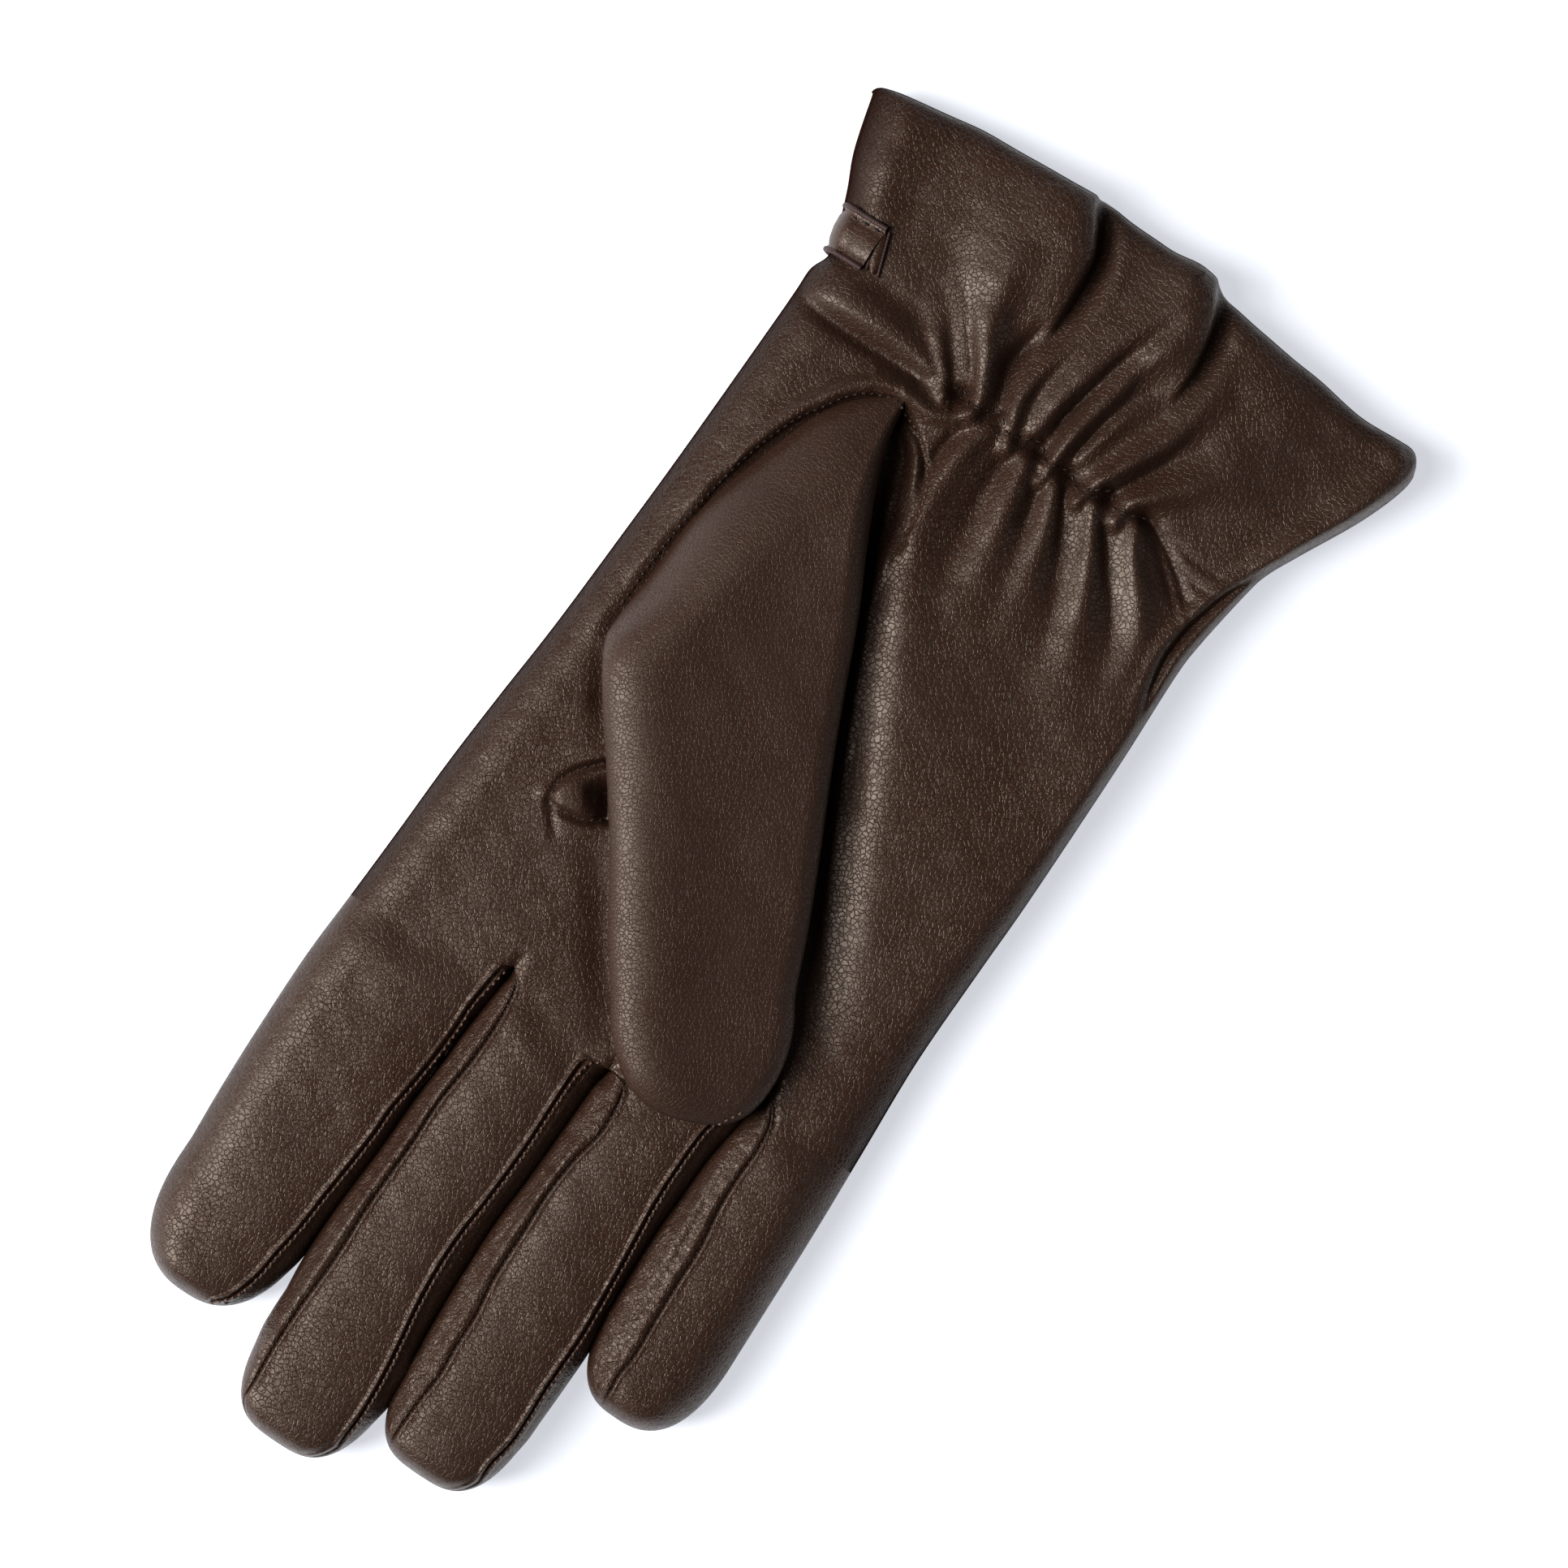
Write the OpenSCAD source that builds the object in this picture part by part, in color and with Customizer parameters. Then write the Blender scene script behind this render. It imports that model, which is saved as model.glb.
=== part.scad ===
// Right-hand dress glove in thin leather, lying on its back with the palm up.
// The thumb stall is folded across the palm, and the wrist is gathered on an elastic.
// +Y points along the fingers, +X to the thumb side, +Z up out of the palm.
// The origin is at the middle of the glove's footprint, on the surface it lies on.

/* [Leather] */
// Thickness of the glove leather
leather_t = 1.0; // [0.8:0.1:1.2]
// Thickness of the knitted lining
lining_t = 0.6; // [0.4:0.1:0.7]
// Thickness of the turned hem and of the elastic
band_t = 0.8; // [0.5:0.1:0.9]

/* [Hand] */
// Height of the hand and of the fingers as they lie
hand_h = 13; // [12:0.5:15]
// Distance from the origin to the edge of the cuff
cuff_y = 130; // [126:1:134]
// Half the width across the flared cuff
cuff_half_w = 57; // [54:1:58]
// Depth of the turned hem inside the cuff
hem_depth = 16; // [10:1:18]
// Distance from the origin to the middle of the wrist elastic
elastic_y = 86.5; // [86:0.5:90]
// Width of the wrist elastic
elastic_w = 5; // [3:0.5:5]

/* [Fingers] */
// Tip of the index finger
index_tip_y = 119; // [112:1:122]
// Tip of the middle finger
middle_tip_y = 130; // [126:1:134]
// Tip of the ring finger
ring_tip_y = 120.5; // [114:0.5:124]
// Tip of the little finger
little_tip_y = 94; // [88:1:98]
// Gap between neighbouring fingers
finger_gap = 1.0; // [0.8:0.1:1.4]

/* [Thumb] */
// Length of the free thumb stall, from its bend line to its tip
thumb_len = 84; // [80:1:85]
// Height of the thumb stall
thumb_h = 12; // [10:0.5:13]
// Angle of the thumb stall from the fingers' direction
thumb_angle = 25; // [22:1:27]

/* [Strap] */
// Width of the wrist strap
strap_w = 9; // [8:0.5:10]
// Thickness of the wrist strap
strap_t = 1.0; // [0.8:0.1:1.0]

/* [Hidden] */
$fn = 32;

joint_gap = 0.3;
cut = 0.01;
arc_steps = 10;
curve_steps = 5;
mid_z = hand_h / 2;
lining_z = 2.2;
lining_inset = leather_t + 0.4;
leather_brown = "#4b3b32";
edge_brown = "#3a2420";
lining_brown = "#5a4636";
thread_brown = "#33211c";

// Fingers: [bend line y, tip y, centre x at the bend line, centre x near the tip, width, tip width, tip length]
INDEX = [44, index_tip_y, 39, 40, 29, 26, 17];
MIDDLE = [48, middle_tip_y, 11.5, 12.3, 23.4, 26, 18];
RING = [48, ring_tip_y, -12.9, -12.9, 23.4, 22, 14];
LITTLE = [38, little_tip_y, -35.8, -35.8, 19.4, 20.4, 13];

// A smooth curve through a list of points, by Catmull-Rom interpolation
function pick(p, i) = p[max(0, min(len(p) - 1, i))];
function through(a, b, c, d, s) =
    0.5 * (2 * b + (c - a) * s + (2 * a - 5 * b + 4 * c - d) * s * s + (3 * b - a - 3 * c + d) * s * s * s);
function smooth(p) = [
    for (i = [0 : len(p) - 2], k = [0 : curve_steps - 1])
        through(pick(p, i - 1), p[i], p[i + 1], pick(p, i + 2), k / curve_steps),
    p[len(p) - 1]
];

// Both long edges and the cuff edge of the hand, drawn in by inset d
function thumb_edge(d) = smooth([
    [cuff_half_w - d, -cuff_y + 6], [51.5 - d, -104], [48 - d, -86], [48 - d, -50], [50.5 - d, -15],
    [53 - d, 25], [53.5 - d, INDEX[0]]
]);
function little_edge(d) = smooth([
    [-45.3 + d, LITTLE[0]], [-45 + d, 30], [-42.5 + d, -10], [-42 + d, -50], [-43 + d, -86],
    [-50 + d, -102], [-cuff_half_w + d, -cuff_y + 6]
]);
function cuff_edge() = smooth([
    [-cuff_half_w, -cuff_y + 6], [-30, -cuff_y + 1], [0, -cuff_y], [30, -cuff_y + 1], [cuff_half_w, -cuff_y + 6]
]);

// The stepped front edge of the hand, where each finger begins
index_split_x = 24;
middle_split_x = -0.4;
ring_split_x = -25;
function finger_line(d) = [
    [index_split_x, INDEX[0]], [index_split_x, MIDDLE[0]], [ring_split_x, RING[0]], [ring_split_x, LITTLE[0]]
];

module hand_outline(d = 0) {
    polygon(concat(thumb_edge(d), finger_line(d), little_edge(d), cuff_edge()));
}

// One finger's outline: straight sides that taper a little, and an elliptical tip. d draws it in.
function finger_outline(f, d = 0) =
    let (
        y0 = f[0] + joint_gap,
        tip_start = f[1] - f[6],
        w0 = f[4] / 2 - d,
        w1 = f[5] / 2 - d
    )
    concat(
        [[f[2] + w0, y0]],
        [for (k = [0 : arc_steps])
            let (a = 180 * k / arc_steps)
            [f[3] + w1 * cos(a), tip_start + (f[6] - d) * pow(sin(a), 0.8)]],
        [[f[2] - w0, y0]]
    );

module finger_ring(f) {
    difference() {
        polygon(finger_outline(f));
        translate([0, -cut]) polygon(finger_outline(f, leather_t));
    }
}

// The stretch of a finger's wall that a fourchette closes: side is 1 for the thumb side, -1 for the other
module fourchette_zone(f, side) {
    x = f[2] + side * 1;
    y1 = f[1] - f[6] * 0.55;
    polygon([[x, f[0]], [x + side * 30, f[0]], [x + side * 30, y1], [x, y1]]);
}

// Half of a finger's case: the panel, and half the height of the wall where there is no fourchette
module finger_panel(f, sides, front) {
    z_plate = front ? hand_h - leather_t : 0;
    z_wall = front ? mid_z : leather_t;
    color(leather_brown) {
        translate([0, 0, z_plate]) linear_extrude(leather_t) polygon(finger_outline(f));
        translate([0, 0, z_wall]) linear_extrude(mid_z - leather_t) difference() {
            finger_ring(f);
            for (s = sides) fourchette_zone(f, s);
        }
    }
}

module fourchette(f, side) {
    color(leather_brown) translate([0, 0, leather_t]) linear_extrude(hand_h - 2 * leather_t)
        intersection() {
            finger_ring(f);
            fourchette_zone(f, side);
        }
}

// A closed sleeve of lining that follows the finger 0.4 mm inside the leather
module finger_lining(f) {
    hollow_h = hand_h - 2 * lining_z - 2 * lining_t;
    color(lining_brown) difference() {
        translate([0, 0, lining_z]) linear_extrude(hand_h - 2 * lining_z)
            polygon(finger_outline(f, lining_inset));
        translate([0, -1, lining_z + lining_t]) linear_extrude(hollow_h)
            polygon(finger_outline(f, lining_inset + lining_t));
    }
}

// Side walls of the hand, leaving the cuff mouth and the finger line open
module hand_walls() {
    difference() {
        hand_outline();
        hand_outline(leather_t);
    }
}

// The footprint of the thumb's root on the palm, whose seam is an arch around the thumb hole
root_middle = [26, -52];
root_seam = smooth([
    [43.5, -16], [43.4, -32], [42, -47], [38.5, -61], [33.5, -72.5], [27.5, -80], [20, -83.5], [14, -80],
    [9, -70], [5, -58], [3, -46], [6, -34]
]);
module root_2d(d = 0) {
    polygon([for (p = root_seam) p - d * (p - root_middle) / norm(p - root_middle)]);
}

module trank_palm() {
    color(leather_brown) {
        translate([0, 0, hand_h - leather_t]) linear_extrude(leather_t) difference() {
            hand_outline();
            root_2d(leather_t);
        }
        translate([0, 0, mid_z]) linear_extrude(mid_z - leather_t) hand_walls();
    }
}

// The back lies on the strap, so a shallow channel lifts the leather over it
strap_y = -100;
strap_back_len = 46;
strap_edge_x = 53;
channel_w = strap_w + 0.4;
channel_h = strap_t + 0.1;
module strap_channel_2d(wall) {
    end_x = strap_edge_x - strap_back_len - 0.5;
    translate([end_x - wall, strap_y - channel_w / 2 - wall]) square([60 + wall, channel_w + 2 * wall]);
}
module trank_back() {
    color(leather_brown) difference() {
        union() {
            linear_extrude(leather_t) hand_outline();
            linear_extrude(mid_z) hand_walls();
            linear_extrude(channel_h + leather_t) intersection() {
                hand_outline();
                strap_channel_2d(leather_t);
            }
        }
        translate([0, 0, -1]) linear_extrude(channel_h + 1) strap_channel_2d(0);
    }
}

// The lining of the hand: an upper and a lower sheet that end inside the hem
module hand_lining() {
    crotches = [[index_split_x, INDEX[0]], [middle_split_x, MIDDLE[0]], [ring_split_x, LITTLE[0]]];
    notch = [4, 7];
    color(lining_brown) for (z = [lining_z, hand_h - lining_z - lining_t])
        translate([0, 0, z]) linear_extrude(lining_t) difference() {
            intersection() {
                hand_outline(lining_inset);
                translate([-cuff_half_w, hem_depth - cuff_y]) square([2 * cuff_half_w, 2 * cuff_y]);
            }
            for (c = crotches) translate([c[0] - notch[0] / 2, c[1] - notch[1] + 1]) square(notch);
            if (z > mid_z) root_2d(leather_t);
        }
}

// The elastic that gathers the palm side of the wrist, between the leather and the lining
elastic_x0 = -28;
elastic_x1 = 20;
module wrist_elastic() {
    color("#2b2320") translate([elastic_x0, -elastic_y - elastic_w / 2, hand_h - leather_t - band_t])
        cube([elastic_x1 - elastic_x0, elastic_w, band_t]);
}

// The shirring stitches that hold the elastic to the leather, in a row across the wrist
stitch_pitch = 2.5;
stitch_len = 1.5;
stitch_r = 0.25;
module stitch(from, to, z) {
    v = to - from;
    translate([from[0], from[1], z]) rotate([0, 90, atan2(v[1], v[0])]) cylinder(h = norm(v), r = stitch_r, $fn = 16);
}
module elastic_stitches() {
    color(thread_brown) for (x = [elastic_x0 + 2 : stitch_pitch : elastic_x1 - 2])
        stitch([x, -elastic_y], [x + stitch_len, -elastic_y], hand_h + stitch_r);
}

// The hem: the leather's edge turned in along the cuff, upper and lower
module cuff_facing() {
    color(leather_brown) for (z = [leather_t, hand_h - leather_t - band_t])
        translate([0, 0, z]) linear_extrude(band_t) intersection() {
            hand_outline(leather_t + 0.1);
            translate([-cuff_half_w, -cuff_y]) square([2 * cuff_half_w, hem_depth - 0.5]);
        }
}

// The part of the thumb that stays sewn to the palm: a low arched collar with a roof, which is open
// towards the free stall
bend_point = [25, -30];
root_h = 3.5;
module at_thumb() {
    translate([bend_point[0], bend_point[1], hand_h]) rotate(thumb_angle) children();
}
module behind_bend_line(y) {
    translate([bend_point[0], bend_point[1]]) rotate(thumb_angle) translate([-60, y - 120]) square(120);
}
module thumb_root() {
    color(leather_brown) translate([0, 0, hand_h]) difference() {
        linear_extrude(root_h) intersection() {
            root_2d();
            behind_bend_line(-2);
        }
        translate([0, 0, -1]) linear_extrude(root_h - leather_t + 1) root_2d(leather_t);
    }
}

// The small three-cornered piece let into the palm at the foot of the thumb's seam
module thumb_gusset() {
    color(leather_brown) translate([0, 0, hand_h]) linear_extrude(0.6) polygon([[35, 12.5], [34.5, 2], [29, 12]]);
}

// A narrow diamond at the foot of a crotch, standing between two fingers
module crotch_gusset(x, y) {
    color(leather_brown) translate([x, y, leather_t]) linear_extrude(hand_h - 2 * leather_t)
        polygon([[0, -5], [1.2, -1.5], [0, -joint_gap], [-1.2, -1.5]]);
}

over_palm = 12;
module wrist_strap() {
    color(leather_brown) translate([0, strap_y - strap_w / 2, 0]) {
        translate([strap_edge_x - strap_back_len, 0, 0]) cube([strap_back_len, strap_w, strap_t]);
        translate([strap_edge_x - strap_t, 0, 0]) cube([strap_t, strap_w, hand_h + strap_t]);
        translate([strap_edge_x - over_palm, 0, hand_h]) cube([over_palm, strap_w, strap_t]);
    }
}

// The strap's short folded end beside the slit that it goes through
module strap_end_tab() {
    tab = [2.4, strap_w - 1, 1.2];
    color(edge_brown) translate([strap_edge_x - over_palm - tab[0] - 0.2, strap_y - tab[1] / 2, hand_h]) cube(tab);
}

module strap_stitches() {
    edge = strap_w / 2 - 1;
    x0 = strap_edge_x - over_palm + 1;
    color(thread_brown) for (y = [strap_y - edge, strap_y + edge], x = [x0 : stitch_pitch : x0 + over_palm - 4])
        stitch([x, y], [x + stitch_len, y], hand_h + strap_t + stitch_r);
}

// The free thumb stall, from just beyond the bend line to the tip. Its root end slopes back.
slope = 13;
function thumb_outline(d = 0) = smooth([
    [20.5 - d, 0.5], [21 - d, 8], [18.5 - d, 23], [15 - d, 39], [12.5 - d, 54], [9.5 - d, 69],
    [3 - d / 2, thumb_len - 3 - d], [-6, thumb_len - d], [-15 + d / 2, thumb_len - 2.5 - d], [-20 + d, 74],
    [-21.5 + d, 60], [-21.5 + d, 30], [-21.5 + d, 0.5]
]);
module thumb_slope() {
    translate([-40, 0, 0]) rotate([90, 0, 90])
        linear_extrude(80) polygon([[-2, -1], [0.6, 0], [slope + 0.6, slope], [-2, slope + 1]]);
}
module thumb_wall() {
    difference() {
        polygon(thumb_outline());
        translate([0, -cut]) polygon(thumb_outline(leather_t));
    }
}
module thumb_front() {
    color(leather_brown) at_thumb() difference() {
        union() {
            translate([0, 0, joint_gap + thumb_h - leather_t]) linear_extrude(leather_t) polygon(thumb_outline());
            translate([0, 0, joint_gap + thumb_h / 2]) linear_extrude(thumb_h / 2 - leather_t) thumb_wall();
        }
        thumb_slope();
    }
}
module thumb_back() {
    color(leather_brown) at_thumb() difference() {
        union() {
            translate([0, 0, joint_gap]) linear_extrude(leather_t) polygon(thumb_outline());
            translate([0, 0, joint_gap + leather_t]) linear_extrude(thumb_h / 2 - leather_t) thumb_wall();
        }
        thumb_slope();
    }
}
module thumb_lining() {
    hollow_h = thumb_h - 2 * lining_inset - 2 * lining_t;
    color(lining_brown) at_thumb() difference() {
        translate([0, 0, joint_gap + lining_inset]) linear_extrude(thumb_h - 2 * lining_inset)
            polygon(thumb_outline(lining_inset));
        translate([0, -2, joint_gap + lining_inset + lining_t]) linear_extrude(hollow_h)
            polygon(thumb_outline(lining_inset + lining_t));
        translate([0, lining_inset, 0]) thumb_slope();
    }
}

trank_palm();
trank_back();
hand_lining();
wrist_elastic();
cuff_facing();
thumb_root();
thumb_gusset();
crotch_gusset(index_split_x, INDEX[0]);  // crotch_gusset_index
crotch_gusset(middle_split_x, MIDDLE[0]);  // crotch_gusset_middle
crotch_gusset(ring_split_x, LITTLE[0]);  // crotch_gusset_ring
wrist_strap();
strap_end_tab();
strap_stitches();
elastic_stitches();
finger_panel(INDEX, [-1], true);  // index_front
finger_panel(INDEX, [-1], false);  // index_back
fourchette(INDEX, -1);  // index_fourchette
finger_lining(INDEX);  // index_lining
finger_panel(MIDDLE, [1, -1], true);  // middle_front
finger_panel(MIDDLE, [1, -1], false);  // middle_back
fourchette(MIDDLE, 1);  // middle_fourchette_index_side
fourchette(MIDDLE, -1);  // middle_fourchette_ring_side
finger_lining(MIDDLE);  // middle_lining
finger_panel(RING, [1, -1], true);  // ring_front
finger_panel(RING, [1, -1], false);  // ring_back
fourchette(RING, 1);  // ring_fourchette_middle_side
fourchette(RING, -1);  // ring_fourchette_little_side
finger_lining(RING);  // ring_lining
finger_panel(LITTLE, [1], true);  // little_front
finger_panel(LITTLE, [1], false);  // little_back
fourchette(LITTLE, 1);  // little_fourchette
finger_lining(LITTLE);  // little_lining
thumb_front();
thumb_back();
thumb_lining();
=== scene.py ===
"""A right-hand leather glove, palm up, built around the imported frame.

Lengths are millimetres until make_mesh.
"""
import math

import bpy
import numpy as np
from mathutils import Matrix, Vector
from mathutils.bvhtree import BVHTree


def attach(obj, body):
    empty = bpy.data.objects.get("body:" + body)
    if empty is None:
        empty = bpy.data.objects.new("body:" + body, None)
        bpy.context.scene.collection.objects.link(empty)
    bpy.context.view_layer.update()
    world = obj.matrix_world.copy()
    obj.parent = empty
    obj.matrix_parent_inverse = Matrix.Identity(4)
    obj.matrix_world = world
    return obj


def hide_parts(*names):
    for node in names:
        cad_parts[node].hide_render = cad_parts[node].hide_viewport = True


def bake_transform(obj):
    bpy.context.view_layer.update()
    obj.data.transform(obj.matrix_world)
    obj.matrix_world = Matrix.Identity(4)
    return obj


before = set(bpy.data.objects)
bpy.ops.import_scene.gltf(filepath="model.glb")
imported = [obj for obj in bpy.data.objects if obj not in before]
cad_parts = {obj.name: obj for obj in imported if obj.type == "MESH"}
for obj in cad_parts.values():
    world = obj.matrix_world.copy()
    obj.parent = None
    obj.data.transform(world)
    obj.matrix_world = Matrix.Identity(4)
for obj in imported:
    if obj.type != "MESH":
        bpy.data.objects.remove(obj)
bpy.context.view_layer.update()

MM = 0.001
LIGHT_SIDE = np.array([0.83, 0.56])  # the way that lit slopes face

# ---------------------------------------------------------------- curves and shapes of relief


def smooth_line(points, steps=6):
    """A Catmull-Rom curve through the points."""
    p = np.array(points, float)
    q = np.vstack([2 * p[0] - p[1], p, 2 * p[-1] - p[-2]])
    s = (np.arange(steps) / steps)[:, None]
    parts = []
    for a, b, c, d in zip(q[:-3], q[1:-2], q[2:-1], q[3:]):
        bend = (2 * a - 5 * b + 4 * c - d) * s**2 + (3 * b - a - 3 * c + d) * s**3
        parts.append(0.5 * (2 * b + (c - a) * s + bend))
    return np.vstack(parts + [p[-1:]])


def lengths_along(line):
    """The length of a line up to each of its points."""
    return np.concatenate([[0], np.cumsum(np.linalg.norm(np.diff(line, axis=0), axis=1))])


def across(points, at, axis):
    """Where a line that runs along one axis stands on the other."""
    line = smooth_line(points)
    line = line[np.argsort(line[:, axis], kind="stable")]
    return np.interp(at, line[:, axis], line[:, 1 - axis])


def x_at(points, y):
    return across(points, y, 1)


def ease(t):
    t = np.clip(t, 0, 1)
    return t * t * (3 - 2 * t)


def quarter(r):
    """Height of a quarter ellipse: 0 at its edge, 1 from r = 1 inwards."""
    return np.sqrt(np.clip(1 - (1 - np.clip(r, 0, 1)) ** 2, 0, 1))


def bell(d, width):
    return np.exp(-((d / width) ** 2))


def nearest(xy, points, reach, lit_side=True):
    """The points within reach of a line: their index, distance, side and share along it.
    The side counts as 1 towards the light, or to the left of the line with lit_side off."""
    line = smooth_line(points)
    index = np.flatnonzero(((xy > line.min(0) - reach) & (xy < line.max(0) + reach)).all(1))
    p = xy[index]
    begin = lengths_along(line)
    best = np.full(len(p), 1e9)
    side = np.zeros(len(p))
    share = np.zeros(len(p))
    for k, seg in enumerate(np.diff(line, axis=0)):
        seg_len = begin[k + 1] - begin[k]
        t = np.clip(((p - line[k]) @ seg) / seg_len**2, 0, 1)
        off = p - line[k] - t[:, None] * seg
        dist = (off**2).sum(1)
        closer = dist < best
        best[closer] = dist[closer]
        left = np.array([-seg[1], seg[0]])
        left = -left if lit_side and left @ LIGHT_SIDE < 0 else left
        side[closer] = np.sign(off[closer] @ left)
        share[closer] = (begin[k] + t[closer] * seg_len) / begin[-1]
    return index, np.sqrt(best), side, share


def spread(values, share):
    """Values given at even steps along a line, read at any share of it."""
    return np.interp(share, np.linspace(0, 1, len(values)), values)


def ridge(xy, points, height, lit, shade):
    """A soft ridge, or a valley with a negative height. lit and shade are its widths on either side."""
    out = np.zeros(len(xy))
    i, d, side, s = nearest(xy, points, 2.6 * max(lit + shade))
    width = np.where(side > 0, spread(lit, s), spread(shade, s))
    out[i] = spread(height, s) * bell(d, width)
    return out


def cusp(xy, points, depth, width):
    """A sharp valley between two rounded folds."""
    out = np.zeros(len(xy))
    i, d, _, s = nearest(xy, points, 3.5 * max(width))
    out[i] = -spread(depth, s) * np.exp(-((d**2 + 0.04) ** 0.5) / spread(width, s))
    return out


def drop_inside(xy, points, depth, reach):
    """Lowers the ground on the left of a line, seen along it."""
    out = np.zeros(len(xy))
    i, d, side, s = nearest(xy, points, 3 * reach, lit_side=False)
    signed = d * side
    fade = bell(np.clip(signed - reach, 0, None), reach)
    out[i] = -spread(depth, s) * ease(signed / 0.8 + 0.4) * fade
    return out


def flap(xy, points, height, back):
    """An overlap: the lit side of the line is a rolled edge that stands above the other side."""
    out = np.zeros(len(xy))
    i, d, side, s = nearest(xy, points, 3 * back)
    signed = d * side
    wall = ease(signed / 1.1 + 0.5)
    roll = 0.35 + 0.65 * quarter(signed / 4.2)
    fall = bell(np.clip(signed - 3.6, 0, None), back)
    under = -0.6 * bell(signed + 1.2, 2.2) * (1 - wall)
    out[i] = spread(height, s) * (wall * roll * fall + under)
    return out


def bumps(xy, places, height, radius):
    """Round bumps at the places, or dents with a negative height."""
    return sum(height * np.exp(-((xy - np.array(p)) ** 2).sum(1) / radius**2) for p in places)


def ripple(xy, size, seed, count=9):
    """Gentle unevenness, about size across, between -1 and 1."""
    rng = np.random.default_rng(seed)
    out = np.zeros(len(xy))
    for _ in range(count):
        angle = rng.uniform(0, math.tau)
        k = math.tau / (size * rng.uniform(0.7, 1.6))
        phase = rng.uniform(0, math.tau)
        out += np.sin(k * (xy[:, 0] * math.cos(angle) + xy[:, 1] * math.sin(angle)) + phase)
    return out / math.sqrt(count) / 1.4


# ---------------------------------------------------------------- outline

LITTLE_EDGE = [
    (-58.4, -122.9), (-58.5, -118.0), (-55.5, -109.3), (-49.7, -97.7), (-47.0, -92), (-45.8, -87.3),
    (-44, -75), (-43.6, -67.6), (-44.1, -49.7), (-44.3, -21.6), (-44, -5.7), (-43.8, 13.3),
    (-44.8, 31.9), (-45.7, 49.4), (-46.3, 67.9), (-46.6, 77.1),
]
THUMB_EDGE = [
    (58.2, -124.8), (55.1, -113.6), (52, -106.6), (49.2, -99), (48.4, -95.4), (49.7, -91.8),
    (49.7, -87.2), (49.8, -78.9), (50.4, -51.4), (51.1, -32.7), (51.9, -14.7), (53.1, 1.4), (54, 15.6),
    (54.5, 30.3), (55.1, 44.5), (55.7, 57), (55.6, 70.8), (55.2, 84.1), (54.5, 95.5),
]
HEM = [
    (-58.4, -122.9), (-55.5, -124.3), (-52, -124.2), (-44.8, -123.9), (-36, -125.2), (-30, -125.7),
    (-24, -126.4), (-20, -126.9), (-16, -127.6), (-13.2, -128.4), (-10.6, -129.8), (-6.7, -130.1),
    (-2, -129.5), (2, -129.6), (8, -129.8), (12.5, -130.4), (15.2, -130.1), (20, -129.6), (26, -129.3),
    (31, -129), (38, -128.6), (44, -127.6), (50.2, -126.5), (55, -125.7), (58.2, -124.8),
]
CROTCH_1 = (23.9, 38.6)  # between index and middle finger
CROTCH_2 = (0.1, 44.2)  # between middle and ring finger
CROTCH_3 = (-25.0, 31.8)  # between ring and little finger
LINE_ENDS = ((-45.0, 36.0), (55.1, 44.5))
FLOOR_GAP = 0.1
STRAP_Y = -100.3
STRAP_W = 8.4
STRAP_REACH = 55.0  # how far out the back is raised over the strap


def half_height(y):
    return np.interp(y, [-130, -122, -112, -96, -80, -50, 40, 130], [5.0, 5.4, 5.7, 5.8, 5.9, 6.3, 6.4, 6.3])


def side_width(y):
    """How far in from the edge the side of the hand is rounded."""
    return np.interp(y, [-130, -115, -98, -85, -60, 30, 60], [15, 14, 11, 9.5, 9, 8.6, 8.0])


# ---------------------------------------------------------------- relief of the palm side

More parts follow.
